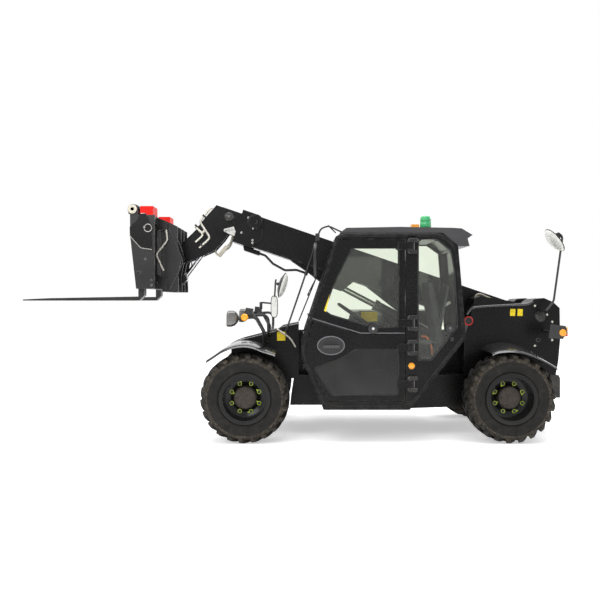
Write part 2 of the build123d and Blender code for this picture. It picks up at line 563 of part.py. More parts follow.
with BuildPart() as cab_shell:
    slab(CAB_OUTLINE, CAB_OUT_Y, CAB_IN_Y)
    # The foot well hangs beside the frame; inboard of it the cab stands on the frame.
    block((0, 1700), (CAB_STEP_Y, 0), (200, FLOOR_Z), mode=Mode.SUBTRACT)
    with BuildSketch(row_plane(CAB_STEP_Y - CAB_WALL)):
        add(inset(CAB_OUTLINE, row_plane(CAB_STEP_Y - CAB_WALL), CAB_WALL))
        with BuildLine():
            Polyline(*box_outline((0, WELL_END_X), (200, FLOOR_Z + CAB_WALL + 1)), close=True)
        make_face(mode=Mode.INTERSECT)
    extrude(amount=CAB_STEP_Y - CAB_OUT_Y - 2 * CAB_WALL, mode=Mode.SUBTRACT)
    with BuildPart(mode=Mode.PRIVATE) as upper_space:
        inset_slab(CAB_OUTLINE, CAB_WALL, CAB_OUT_Y + CAB_WALL, CAB_IN_Y - CAB_WALL)
        block((0, 1700), (-900, 0), (200, FLOOR_Z + CAB_WALL), mode=Mode.SUBTRACT)
    add(upper_space.part, mode=Mode.SUBTRACT)
    # Door and window openings of the left side.
    slab(DOOR_OPENING, CAB_OUT_Y - 1, CAB_OUT_Y + CAB_WALL + 1, mode=Mode.SUBTRACT)
    slab(QUARTER_OPENING, CAB_OUT_Y - 1, CAB_OUT_Y + CAB_WALL + 1, mode=Mode.SUBTRACT)
    # Side window towards the boom.
    slab([(190, 1010), (445, 1850), (1340, 1850), (1455, 1770), (1520, 1010)],
         CAB_IN_Y - CAB_WALL - 1, CAB_IN_Y + 1, mode=Mode.SUBTRACT)
    # Windscreen, lower windscreen, rear window and roof hatch cut across the cab's width.
    slab([(0, 1000), (330, 1830), (520, 1830), (220, 1000)], CAB_OUT_Y + 60, CAB_IN_Y - 60, mode=Mode.SUBTRACT)
    slab([(60, 920), (180, 920), (180, 680), (60, 680)], CAB_OUT_Y + 60, CAB_IN_Y - 60, mode=Mode.SUBTRACT)
    slab([(1460, 1070), (1700, 1070), (1700, 1760), (1440, 1760)], CAB_OUT_Y + 60, CAB_IN_Y - 60,
         mode=Mode.SUBTRACT)
    block((600, 1260), (CAB_OUT_Y + 90, CAB_IN_Y - 90), (1800, 2000), mode=Mode.SUBTRACT)
save(cab_shell, "cab_shell")

ROOF_OUTLINE = [
    (441, 1928), (496, 1969), (994, 1978), (1473, 1969), (1547, 1964), (1648, 1904), (1602, 1872), (1620, 1803),
    (1537, 1800), (1513, 1807), (1374, 1922), (455, 1922),
]
with BuildPart() as cab_roof:
    slab(ROOF_OUTLINE, CAB_OUT_Y + 10, CAB_IN_Y - 10)
    block((600, 1260), (CAB_OUT_Y + 90, CAB_IN_Y - 90), (1850, 2000), mode=Mode.SUBTRACT)
    for step in range(4):
        bar_y = CAB_OUT_Y + 90 + (CAB_IN_Y - CAB_OUT_Y - 180) * (step + 1) / 5
        block((600, 1260), (bar_y - 10, bar_y + 10), (1934, 1964))
save(cab_roof, "cab_roof")

# Panes sit in the middle of the wall, a seat's gap inside their openings.
with BuildPart() as cab_glazing:
    inset_slab(QUARTER_OPENING, SEAT, CAB_OUT_Y + 8, CAB_OUT_Y + 8 + GLASS_T)
    inset_slab([(190, 1010), (445, 1850), (1340, 1850), (1455, 1770), (1520, 1010)], SEAT,
               CAB_IN_Y - 8 - GLASS_T, CAB_IN_Y - 8)
    block((600 + SEAT, 1260 - SEAT), (CAB_OUT_Y + 90 + SEAT, CAB_IN_Y - 90 - SEAT), (1900, 1900 + GLASS_T))
    for top, foot, z_low, z_high, depth in (   # pane's line on the shell, its z range, depth under the face
        ((397, 1888), (84, 946), 1000, 1830, 12),
        ((84, 946), (90, 772), 680, 920, 12),
        ((1513, 1807), (1582, 1018), 1070, 1760, -12 - GLASS_T),
    ):
        slope = (top[0] - foot[0]) / (top[1] - foot[1])
        low_x = foot[0] + slope * (z_low + SEAT - foot[1]) + depth
        high_x = foot[0] + slope * (z_high - SEAT - foot[1]) + depth
        slab([(low_x, z_low + SEAT), (low_x + GLASS_T, z_low + SEAT), (high_x + GLASS_T, z_high - SEAT),
              (high_x, z_high - SEAT)], CAB_OUT_Y + 60 + SEAT, CAB_IN_Y - 60 - SEAT)
save(cab_glazing, "cab_glazing")

# Two-piece door: both leaves are cut from the door opening along one slanted line.
DOOR_T = CAB_WALL
DOOR_BORDER = 62
UPPER_CUT = [(-50, 1203), DOOR_SPLIT[0], DOOR_SPLIT[1], (PILLAR_X[0] + 50, DOOR_SPLIT[2][1]),
             (PILLAR_X[0] + 50, 2000), (-50, 2000)]
LOWER_CUT = [(-50, 1203), DOOR_SPLIT[0], DOOR_SPLIT[1], (PILLAR_X[0] + 50, DOOR_SPLIT[2][1]),
             (PILLAR_X[0] + 50, 200), (-50, 200)]
UPPER_GLASS = [(538, 1780), (974, 1780), (974, 1062), (755, 1050), (345, 1172), (290, 1215), (373, 1447)]
LOWER_GLASS = [(571, 862), (974, 862), (974, 440), (360, 440), (200, 690), (454, 784)]

for name, cut, glass, hinge_zs in (
    ("door_upper", UPPER_CUT, UPPER_GLASS, (1101, 1801)),
    ("door_lower", LOWER_CUT, LOWER_GLASS, (546, 878)),
):
    plane = row_plane(CAB_OUT_Y + DOOR_T)
    with BuildPart() as door:
        with BuildSketch(plane) as leaf:
            with BuildLine():
                Polyline(*DOOR_OPENING, close=True)
            make_face()
            with BuildLine():
                Polyline(*cut, close=True)
            make_face(mode=Mode.INTERSECT)
            offset(amount=-SWING, kind=Kind.INTERSECTION)
            with BuildLine():
                Polyline(*glass, close=True)
            make_face(mode=Mode.SUBTRACT)
        extrude(amount=DOOR_T)
        # Hinge straps reach back to the pins beside the pillar.
        for hinge_z in hinge_zs:
            block((PILLAR_X[0] - 70, DOOR_HINGE[0] - 4), (DOOR_HINGE[1] - 5, CAB_OUT_Y), (hinge_z - 34, hinge_z + 34))
            with Locations((*DOOR_HINGE, hinge_z)):
                Cylinder(15, 68)
                Cylinder(8 + RUN, 70, mode=Mode.SUBTRACT)
    save(door, name)
    with BuildPart() as pane:
        inset_slab(glass, SEAT, CAB_OUT_Y + 14, CAB_OUT_Y + 14 + GLASS_T)
    save(pane, f"{name}_glass")

with BuildPart() as door_hinges:
    for hinge_z in (546, 878, 1101, 1801):
        with Locations((*DOOR_HINGE, hinge_z)):
            Cylinder(8, 140)
        for z_low in (hinge_z - 70, hinge_z + 36):
            block((DOOR_HINGE[0] - 14, PILLAR_X[1]), (DOOR_HINGE[1] - 12, CAB_OUT_Y), (z_low, z_low + 34))
save(door_hinges, "door_hinges")

# ---------------------------------------------------------------- inside the cab
SEAT_Z = 700         # top of the seat's mounting box
with BuildPart() as seat:
    slab([(900, SEAT_Z + SEAT), (1250, SEAT_Z + SEAT), (1290, 760), (1275, 822), (930, 850), (880, 800)],
         -770, -340, radius=20)
    slab([(1230, 780), (1336, 780), (1462, 1480), (1425, 1515), (1370, 1495)], -760, -350, radius=18)
save(seat, "seat")
with BuildPart() as seat_base:
    block((960, 1200), (-690, -420), (FLOOR_Z + CAB_WALL, SEAT_Z))
save(seat_base, "seat_base")

WHEEL_TILT = 34.7
WHEEL_CENTRE = Vector(600, -520, 1162)
WHEEL_AXIS = Vector(sin(radians(WHEEL_TILT)), 0, cos(radians(WHEEL_TILT)))
WHEEL_R = 190
COLUMN_TOP = WHEEL_CENTRE - WHEEL_AXIS * 60
COLUMN_KNEE = WHEEL_CENTRE - WHEEL_AXIS * 190
with BuildPart() as steering_column:
    block((400, 520), (-600, -440), (CAB_OUTLINE[0][1] + CAB_WALL, 720))
    bar((450, -520, 700), COLUMN_KNEE, 44)
    bar(COLUMN_KNEE, COLUMN_TOP, 36)
save(steering_column, "steering_column")

with BuildPart() as steering_wheel:
    with BuildSketch(Plane(origin=WHEEL_CENTRE, x_dir=(0, 1, 0),
                           z_dir=WHEEL_AXIS.cross(Vector(0, 1, 0)))) as rim_section:
        with Locations((WHEEL_R, 0)):
            Circle(14)
    revolve(axis=Axis(WHEEL_CENTRE, WHEEL_AXIS))
    bar(WHEEL_CENTRE - Vector(0, WHEEL_R, 0), WHEEL_CENTRE + Vector(0, WHEEL_R, 0), 10)
    bar(COLUMN_TOP, WHEEL_CENTRE, 30)
save(steering_wheel, "steering_wheel")

with BuildPart() as console:
    # Armrest console beside the seat and dash cowl in front of the column.
    slab([(860, FLOOR_Z + CAB_WALL), (1230, FLOOR_Z + CAB_WALL), (1380, 840), (1330, 900), (1200, 960), (900, 940)],
         -316, CAB_IN_Y - CAB_WALL)
    bar((960, -268, 930), (940, -268, 1060), 16)
save(console, "console")

# ================================================================ engine side
POD_SECTION = [
    (FRAME_Y, POD_Z), (POD_Y, POD_Z), (POD_Y, POD_SPLIT_Z), (CAB_IN_Y * -1, POD_SPLIT_Z),
    (CAB_IN_Y * -1, FLOOR_Z), (FRAME_Y, FLOOR_Z),
]
GRILLE_ROWS = 7
GRILLE_SLOT = 22
GRILLE_PITCH = 50
with BuildPart() as engine_pod:
    for low, high in ((POD_X[0], POD_X[0] + SHEET_T), (POD_X[1] - SHEET_T, POD_X[1])):
        extrude(outline(POD_SECTION, Plane.YZ.offset(low)), amount=high - low)
    block(POD_X, (FRAME_Y, POD_Y), (POD_Z, POD_Z + SHEET_T))
    block(POD_X, (POD_Y - SHEET_T, POD_Y), (POD_Z, POD_SPLIT_Z))
    for row in range(GRILLE_ROWS):
        z_low = POD_Z + 80 + row * GRILLE_PITCH
        block((POD_X[0] + 110, POD_X[0] + 420), (POD_Y - SHEET_T - 1, POD_Y + 1), (z_low, z_low + GRILLE_SLOT),
              mode=Mode.SUBTRACT)
save(engine_pod, "engine_pod")

with BuildPart() as engine_block:
    block((760, 1380), (FRAME_Y + 30, 800), (POD_Z + SHEET_T, 960))
save(engine_block, "engine_block")

BONNET_SECTION = [
    (BONNET_HINGE[0] + 22, 1190), (640, 1205), (790, 1150), (POD_Y, 1010), (POD_Y, POD_SPLIT_Z + SWING),
    (CAB_IN_Y * -1 + SWING, POD_SPLIT_Z + SWING), (CAB_IN_Y * -1 + SWING, 1150),
]
BONNET_INSIDE = [
    (BONNET_HINGE[0] + 26, 1175), (636, 1190), (781, 1137), (POD_Y - SHEET_T, 1003),
    (POD_Y - SHEET_T, POD_SPLIT_Z), (CAB_IN_Y * -1 + SWING + SHEET_T, POD_SPLIT_Z),
    (CAB_IN_Y * -1 + SWING + SHEET_T, 1145),
]
BONNET_KNUCKLES = (760, 1370)
KNUCKLE_L = 50
with BuildPart() as bonnet:
    extrude(outline(BONNET_SECTION, Plane.YZ.offset(POD_X[0])), amount=POD_X[1] - POD_X[0])
    extrude(outline(BONNET_INSIDE, Plane.YZ.offset(POD_X[0] + SHEET_T)),
            amount=POD_X[1] - POD_X[0] - 2 * SHEET_T, mode=Mode.SUBTRACT)
    for x in BONNET_KNUCKLES:
        for low in (x - KNUCKLE_L - KNUCKLE_L / 2, x + KNUCKLE_L / 2 + 2):
            block((low, low + KNUCKLE_L - 2), (BONNET_HINGE[0], BONNET_HINGE[0] + 30),
                  (BONNET_HINGE[1] - 8, BONNET_HINGE[1] + 4))
            bar((low, *BONNET_HINGE), (low + KNUCKLE_L - 2, *BONNET_HINGE), 13)
            bar((low - 1, *BONNET_HINGE), (low + KNUCKLE_L, *BONNET_HINGE), 7 + RUN, mode=Mode.SUBTRACT)
    # Louvres over the radiator.
    for row in range(4):
        z_low = 905 + row * 26
        block((POD_X[0] + 110, POD_X[1] - 110), (POD_Y - SHEET_T - 1, POD_Y + 1), (z_low, z_low + 12),
              mode=Mode.SUBTRACT)
save(bonnet, "bonnet")

with BuildPart() as bonnet_hinges:
    for x in BONNET_KNUCKLES:
        block((x - KNUCKLE_L / 2 + 1, x + KNUCKLE_L / 2 - 1), (TROUGH_Y + 2, TROUGH_Y + PLATE_T - 2),
              (TROUGH_TOP_Z, BONNET_HINGE[1]))
        block((x - KNUCKLE_L / 2 + 1, x + KNUCKLE_L / 2 - 1), (TROUGH_Y + 2, BONNET_HINGE[0]),
              (BONNET_HINGE[1] - 13, BONNET_HINGE[1]))
        bar((x - KNUCKLE_L / 2 + 1, *BONNET_HINGE), (x + KNUCKLE_L / 2 - 1, *BONNET_HINGE), 13)
        bar((x - KNUCKLE_L * 1.5, *BONNET_HINGE), (x + KNUCKLE_L * 1.5, *BONNET_HINGE), 7)
save(bonnet_hinges, "bonnet_hinges")

# Oil tank ahead of the engine, with its filler neck.
with BuildPart() as side_tank:
    slab([(120, 400), (600, 400), (600, 900), (120, 900)], FRAME_Y, 860, radius=18)
    bar((480, 760, 895), (480, 760, 940), 34)
save(side_tank, "side_tank")

# ================================================================ mudguards
GUARD_T = 8
FRONT_GUARD = [(-785, 762), (-727, 806), (-640, 862), (-512, 902), (-382, 902), (-268, 868), (-152, 826)]
REAR_GUARD = [(1822, 834), (1861, 856), (1989, 866), (2165, 838), (2232, 812), (2300, 781), (2411, 705)]


def guard_section(points):
    """Side view of a guard: its outer line and the same line brought in by the sheet's thickness."""
    with BuildSketch(row_plane(0)) as sketch:
        with BuildLine() as edge:
            Polyline(*points)
            offset(amount=GUARD_T, side=Side.RIGHT, closed=True)
        make_face()
    return sketch.sketch


def guard(points, y_low, y_high):
    inner = [(x, z - GUARD_T) for x, z in reversed(points)]
    slab(list(points) + inner, y_low, y_high)


with BuildPart() as mudguards:
    for low, high in both_sides(FRAME_Y, 905):
        guard(FRONT_GUARD, low, high)
    for low, high in both_sides(TOWER_Y, 905):
        guard(REAR_GUARD, low, high)
save(mudguards, "mudguards")

# ================================================================ lamps, mirrors and beacon
with BuildPart() as headlamps:
    for side in (-1, 1):
        y = side * 720
        # Post from the nose, bent up to the lamp, and the lamp's round body.
        bar((-262, side * FRAME_Y, 940), (-262, side * (FRAME_Y + 190), 940), 11)
        bar((-262, side * (FRAME_Y + 190), 940), (-352, y, 1057), 11)
        bar((-352, y, 1057), (-411, y, 1057), 11)
        bar((-411, y, 1057), (-470, y, 1132), 11)
        bar((-470, y, 1132), (-520, y, 1132), 11)
        with BuildSketch(Plane(origin=(-520, y, 1132), z_dir=(-1, 0, 0))) as lamp_back:
            RectangleRounded(150, 130, 25)
        extrude(amount=75, taper=-4)
save(headlamps, "headlamps")

with BuildPart() as tail_lamps:
    for side in (-1, 1):
        y_low, y_high = sorted((side * 770, side * 800))
        slab([(2364, 959), (2383, 1088), (2521, 1070), (2540, 1010), (2494, 950)], y_low, y_high)
        bar((2440, side * TOWER_Y, 1010), (2440, side * 770, 1010), 14)
save(tail_lamps, "tail_lamps")

with BuildPart() as mirrors:
    # Round tail mirror on its arm.
    bar((2440, -TOWER_Y, 1240), (2440, -600, 1240), 10)
    bar((2440, -600, 1240), (2480, -600, 1301), 10)
    bar((2480, -600, 1301), (2547, -600, 1879), 10)
    bar((2547, -600, 1879), (2490, -600, 1870), 10)
    with BuildSketch(Plane(origin=(2490, -600, 1870), z_dir=(-0.73, 0, -0.68))) as dish:
        Circle(118)
    extrude(amount=22, taper=30)
    # Cab mirror on the roof's front corner.
    bar((480, CAB_OUT_Y + 10, 1942), (480, CAB_OUT_Y - 10, 1942), 9)
    bar((484, CAB_OUT_Y - 2, 1942), (264, CAB_OUT_Y + 20, 1969), 9)
    bar((264, CAB_OUT_Y + 20, 1969), (206, CAB_OUT_Y + 20, 1830), 9)
    block((186, 214), (-940, -790), (1700, 1880))
    # Nose mirrors.
    bar((-150, -FRAME_Y, 985), (-150, -500, 985), 10)
    bar((-150, -500, 985), (-170, -700, 1160), 10)
    bar((-170, -700, 1160), (-120, -780, 1330), 10)
    bar((-170, -700, 1160), (-250, -780, 1190), 9)
    block((-297, -250), (-900, -700), (1110, 1290))
    with BuildSketch(Plane(origin=(-120, -780, 1330), z_dir=(-0.94, 0, 0.34))) as front_dish:
        Circle(105)
    extrude(amount=20, taper=30)
save(mirrors, "mirrors")

BEACON = (1279, -500)
with BuildPart() as beacon:
    with Locations((*BEACON, 1974 + 12)):
        Cylinder(54, 24)
    with Locations((*BEACON, 1998 + 50)):
        Cylinder(50, 100)
    fillet(beacon.edges().sort_by(Axis.Z)[-1], 20)
save(beacon, "beacon")

# ================================================================ pipes on the boom head
PIPE_R = 9
with BuildPart() as gooseneck_pipes:
    for y in (-88, 88):
        with BuildPart(mode=Mode.PRIVATE) as pipe:
            with BuildLine(boom_plane(y)) as route:
                FilletPolyline((3115, INNER_V[1] + PIPE_R), (3350, INNER_V[1] + PIPE_R), (3500, -130), radius=60)
            with BuildSketch(Plane(origin=route.line @ 0, z_dir=route.line % 0)) as pipe_section:
                Circle(PIPE_R)
            sweep(path=route.line)
        add(pipe.part)
save(gooseneck_pipes, "gooseneck_pipes")

# Hose loop under the collar, clipped at both ends.
HOSE_R = 12
with BuildPart() as boom_hose:
    with BuildLine(boom_plane(0)) as hose_route:
        FilletPolyline(HOSE_START, (2740, HOSE_START[1]), (2640, -335), (2500, -360), (2390, HOSE_END[1]), HOSE_END,
                       radius=60)
    with BuildSketch(Plane(origin=hose_route.line @ 0, z_dir=hose_route.line % 0)) as hose_section:
        Circle(HOSE_R)
    sweep(path=hose_route.line)
save(boom_hose, "boom_hose")
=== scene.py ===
"""Looks of a compact telescopic handler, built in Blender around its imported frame.

Metres, in the frame's own axes: +X runs to the tail, +Y to the engine side, +Z up.
Pieces are drawn in millimetres and brought to metres by piece().
"""

import json
import math
import random

import bmesh
import bpy
from mathutils import Matrix, Vector


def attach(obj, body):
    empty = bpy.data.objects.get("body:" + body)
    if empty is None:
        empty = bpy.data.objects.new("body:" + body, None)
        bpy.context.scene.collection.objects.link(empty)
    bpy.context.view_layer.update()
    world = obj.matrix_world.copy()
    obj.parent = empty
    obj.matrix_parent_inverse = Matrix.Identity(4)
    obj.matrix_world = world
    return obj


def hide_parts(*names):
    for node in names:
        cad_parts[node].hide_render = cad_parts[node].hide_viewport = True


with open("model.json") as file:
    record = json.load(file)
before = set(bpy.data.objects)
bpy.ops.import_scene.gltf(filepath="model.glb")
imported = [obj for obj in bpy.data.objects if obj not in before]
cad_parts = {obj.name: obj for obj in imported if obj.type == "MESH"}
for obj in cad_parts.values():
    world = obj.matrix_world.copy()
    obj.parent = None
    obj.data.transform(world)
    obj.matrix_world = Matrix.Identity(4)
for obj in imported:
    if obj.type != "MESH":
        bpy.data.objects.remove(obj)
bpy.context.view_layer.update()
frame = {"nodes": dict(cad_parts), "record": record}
NODES = frame["nodes"]

# ---- view
CAMERA_AT = (0.072, -7.740, 1.310)
SENSOR = 36.0
LENS = 45.18
WHITE = (1.0, 1.0, 1.0, 1.0)


def link(obj):
    bpy.context.scene.collection.objects.link(obj)
    return obj


def make_camera():
    data = bpy.data.cameras.new("camera")
    data.sensor_width = SENSOR
    data.lens = LENS
    camera = link(bpy.data.objects.new("camera", data))
    camera.location = CAMERA_AT
    camera.rotation_euler = (math.radians(90), 0, 0)
    bpy.context.scene.camera = camera


def area_light(name, at, target, size, power):
    data = bpy.data.lights.new(name, "AREA")
    data.shape = "RECTANGLE"
    data.size, data.size_y = size
    data.energy = power
    light = link(bpy.data.objects.new(name, data))
    light.location = at
    light.rotation_euler = (Vector(target) - Vector(at)).to_track_quat("-Z", "Y").to_euler()


# ---- node helpers
BEVEL_SAMPLES = 4


class Nodes:
    """A node tree, with short calls for the nodes used here."""

    def __init__(self, tree):
        self.tree = tree

    def join(self, source, target):
        """Links an output to an input, or gives the input a number or a colour."""
        if isinstance(source, (int, float, tuple)):
            target.default_value = source
        else:
            self.tree.links.new(source, target)

    def add(self, kind, inputs=None, **settings):
        """New node with its settings, and its inputs by name or place."""
        node = self.tree.nodes.new("ShaderNode" + kind)
        for key, value in settings.items():
            setattr(node, key, value)
        for key, source in (inputs or {}).items():
            self.join(source, node.inputs[key])
        return node

    def ramp(self, value, low, high, out_low=0.0, out_high=1.0):
        """Value taken from low..high to out_low..out_high, and held there outside."""
        return self.add("MapRange", {"Value": value, "From Min": low, "From Max": high, "To Min": out_low,
                                     "To Max": out_high}, clamp=True).outputs["Result"]

    def math(self, kind, first, *others):
        for other in others:
            first = self.add("Math", {0: first, 1: other}, operation=kind).outputs[0]
        return first

    def up(self, vector):
        return self.add("SeparateXYZ", {0: vector}).outputs["Z"]

    def layered(self, factor, under, over):
        """Shader under where factor is 0, over where it is 1."""
        return self.add("MixShader", {0: factor, 1: under, 2: over}).outputs[0]

    def seen(self):
        """1 for rays from the camera, off a gloss or through a pane; 0 for rays that gather light."""
        rays = self.add("LightPath").outputs
        return self.math("MAXIMUM", *[rays[f"Is {kind} Ray"] for kind in ("Camera", "Glossy", "Transmission")])


class Shader(Nodes):
    """A material and its nodes."""

    def __init__(self, name):
        self.material = bpy.data.materials.new(name)
        self.material.use_nodes = True
        super().__init__(self.material.node_tree)
        self.bsdf = self.tree.nodes["Principled BSDF"]
        self.place = self.add("TexCoord").outputs["Object"]

    def noise(self, scale, detail=4.0, rough=0.55):
        return self.add("TexNoise", {"Vector": self.place, "Scale": scale, "Detail": detail,
                                     "Roughness": rough}).outputs["Fac"]

    def mix(self, factor, a, b):
        """Colour a where factor is 0, b where it is 1."""
        node = self.add("Mix", {"Factor": factor}, data_type="RGBA")
        low, high = [s for s in node.inputs if s.type == "RGBA"]
        for value, socket in ((a, low), (b, high)):
            self.join((*value, 1.0) if isinstance(value, tuple) else value, socket)
        return [s for s in node.outputs if s.type == "RGBA"][0]

    def facing_up(self):
        """1 on faces that look straight up, 0 on walls."""
        return self.ramp(self.up(self.add("NewGeometry").outputs["Normal"]), 0.25, 0.95)

    def soft_normal(self, radius):
        return self.add("Bevel", {"Radius": radius}, samples=BEVEL_SAMPLES).outputs["Normal"]

    def edges(self, radius):
        """1 along sharp edges, fading out over a radius."""
        flat = self.add("NewGeometry").outputs["True Normal"]
        dot = self.add("VectorMath", {0: self.soft_normal(radius), 1: flat}, operation="DOT_PRODUCT")
        return self.ramp(dot.outputs["Value"], 0.999, 0.93)

    def bump(self, height, strength, distance, soft_edge):
        node = self.add("Bump", {"Strength": strength, "Distance": distance, "Height": height,
                                 "Normal": self.soft_normal(soft_edge)})
        self.join(node.outputs["Normal"], self.bsdf.inputs["Normal"])

    def set(self, **values):
        for name, value in values.items():
            self.join(value, self.bsdf.inputs[name.replace("_", " ")])
        return self.material

    def surface(self, shader):
        self.join(shader, self.tree.nodes["Material Output"].inputs["Surface"])
        return self.material


# ---- finishes
DUST = (0.23, 0.19, 0.14)
WORN = (0.28, 0.27, 0.26)
FILM = (0.55, 0.55, 0.52, 1)
GLASS_IOR = 1.45
PANE_GLOSS = 0.02
PANE_SMEAR = 0.03


def coated(name, colour, second, rough, metal=0.0, grain=60.0, relief=0.15, dust=0.25, wear=0.0, coat=0.0, shine=0.5):
    """Painted, cast or moulded surface: two tones, dust where it settles and rubbed edges."""
    s = Shader(name)
    fine = s.noise(grain, 3)
    base = s.mix(s.ramp(s.noise(3.1, 5), 0.35, 0.7), colour, second)
    if wear:
        patches = s.ramp(s.noise(17, 5), 0.42, 0.62)
        base = s.mix(s.math("MULTIPLY", s.edges(0.006), patches, wear), base, WORN)
    settled = s.math("MULTIPLY", s.facing_up(), s.ramp(s.noise(6.5, 6), 0.3, 0.75))
    low = s.math("MULTIPLY", s.ramp(s.up(s.place), 0.95, 0.25), s.ramp(s.noise(9.0, 6), 0.42, 0.8))
    dirt = s.math("MULTIPLY", s.math("MAXIMUM", settled, low), dust)
    base = s.mix(dirt, base, DUST)
    roughness = s.ramp(s.math("ADD", fine, s.math("MULTIPLY", dirt, 1.6)), 0.2, 1.4, *rough)
    s.bump(fine, relief, 0.0006, 0.0015)
    return s.set(Base_Color=base, Roughness=roughness, Metallic=metal, Coat_Weight=coat, Specular_IOR_Level=shine)


def glass(name, tint):
    """Thin pane: mostly clear, with its own tint and a gloss that grows towards grazing angles."""
    s = Shader(name)
    clear = s.add("BsdfTransparent", {"Color": (*tint, 1.0)}).outputs[0]
    film = s.add("BsdfDiffuse", {"Color": FILM}).outputs[0]
    gloss = s.add("BsdfGlossy", {"Roughness": PANE_GLOSS}).outputs[0]
    dusty = s.layered(s.ramp(s.noise(5.0, 6), 0.3, 0.8, 0.0, PANE_SMEAR), clear, film)
    return s.surface(s.layered(s.add("Fresnel", {"IOR": GLASS_IOR}).outputs[0], dusty, gloss))


def plain(name, colour, rough, metal=0.0, coat=0.0, glow=0.0):
    """Even surface with a little unevenness in its gloss."""
    s = Shader(name)
    roughness = s.ramp(s.noise(40, 4), 0.3, 0.7, rough * 0.8, min(1.0, rough * 1.25))
    base = s.mix(s.ramp(s.noise(25, 5), 0.45, 0.8), colour, tuple(c * 0.72 for c in colour))
    s.bump(s.noise(90, 2), 0.08, 0.0004, 0.0008)
    if glow:
        s.set(Emission_Color=(*colour, 1), Emission_Strength=glow)
    return s.set(Base_Color=base, Roughness=roughness, Metallic=metal, Coat_Weight=coat)


def tyre_rubber(name):
    """Rubber with dust packed between the lugs and on the ledge round the shoulder."""
    s = Shader(name)
    flat = s.add("VectorMath", {0: s.place, 1: (1, 0, 1)}, operation="MULTIPLY").outputs[0]
    radius = s.add("VectorMath", {0: flat}, operation="LENGTH").outputs["Value"]
    base = s.mix(s.ramp(s.noise(14, 6), 0.35, 0.7), (0.0085, 0.0083, 0.008), (0.018, 0.017, 0.016))
    packed = s.math("MULTIPLY", s.ramp(radius, 0.397, 0.383), s.ramp(radius, 0.340, 0.350),
                    s.ramp(s.noise(26, 6), 0.42, 0.72, 0.04, 0.5))
    ledge = s.math("MULTIPLY", s.ramp(radius, 0.331, 0.341), s.ramp(radius, 0.356, 0.347),
                   s.ramp(s.noise(45, 6), 0.36, 0.66, 0.0, 0.55))
    wall = s.math("MULTIPLY", s.ramp(s.noise(11, 8, 0.65), 0.5, 0.78, 0.0, 0.16), s.ramp(radius, 0.345, 0.335))
    scuffed = s.math("MULTIPLY", s.ramp(s.noise(60, 5), 0.5, 0.75, 0.0, 0.2), s.ramp(radius, 0.36, 0.37))
    dirt = s.math("MAXIMUM", packed, ledge, wall, scuffed)
    s.bump(s.math("ADD", s.noise(150, 4), s.math("MULTIPLY", s.noise(28, 5), 2.0)), 0.35, 0.0009, 0.0025)
    return s.set(Base_Color=s.mix(dirt, base, (0.165, 0.135, 0.10)), Specular_IOR_Level=0.16,
                 Roughness=s.ramp(s.math("ADD", dirt, s.noise(120, 3)), 0.3, 1.5, 0.5, 0.95))


COATED = {     # slot: its two tones, the range of its roughness, and what else coated() is told
    "black_paint": ((0.0045, 0.0046, 0.005), (0.008, 0.008, 0.0085), (0.2, 0.5),
                    dict(wear=0.35, dust=0.05, shine=0.15)),
    "dark_casting": ((0.012, 0.012, 0.012), (0.022, 0.021, 0.02), (0.5, 0.85), dict(relief=0.5, dust=0.45, wear=0.3)),
    "roof_plastic": ((0.045, 0.044, 0.047), (0.062, 0.061, 0.064), (0.3, 0.5), dict(grain=300, dust=0.12, shine=0.35)),
    "guard_plastic": ((0.02, 0.02, 0.021), (0.03, 0.03, 0.031), (0.2, 0.42), dict(dust=0.04, coat=0.7)),
    "worn_steel": ((0.007, 0.007, 0.0075), (0.016, 0.015, 0.0145), (0.28, 0.65),
                   dict(wear=0.8, dust=0.16, relief=0.3, shine=0.35)),
    "red_paint": ((0.78, 0.012, 0.006), (0.66, 0.01, 0.006), (0.3, 0.5), dict(wear=0.2, dust=0.03, shine=0.12)),
    "black_barrel": ((0.01, 0.01, 0.0105), (0.017, 0.017, 0.017), (0.3, 0.55), dict(dust=0.12)),
    "chrome_rod": ((0.62, 0.62, 0.64), (0.5, 0.5, 0.52), (0.08, 0.22), dict(metal=1.0, relief=0.05, dust=0.05)),
    "zinc_pipe": ((0.42, 0.42, 0.40), (0.30, 0.30, 0.29), (0.28, 0.5), dict(metal=0.9, dust=0.1)),
    "hose_rubber": ((0.012, 0.012, 0.012), (0.02, 0.02, 0.02), (0.4, 0.7), dict(dust=0.2)),
    "seat_cloth": ((0.05, 0.05, 0.052), (0.075, 0.075, 0.078), (0.75, 0.95), dict(grain=220, relief=0.12, dust=0.03)),
    "pad_plastic": ((0.5, 0.47, 0.38), (0.4, 0.37, 0.3), (0.4, 0.6), {}),
    "lamp_plastic": ((0.013, 0.013, 0.014), (0.02, 0.02, 0.02), (0.35, 0.6), dict(grain=260)),
    "beacon_green": ((0.01, 0.33, 0.12), (0.01, 0.26, 0.09), (0.12, 0.3), dict(dust=0.05)),
    "rim_paint": ((0.005, 0.005, 0.0053), (0.009, 0.009, 0.009), (0.12, 0.34), dict(dust=0.04, shine=0.22)),
    "tyre_rubber": ((0.016, 0.0155, 0.015), (0.03, 0.028, 0.025), (0.62, 0.9), dict(relief=0.5, dust=0.5)),
}
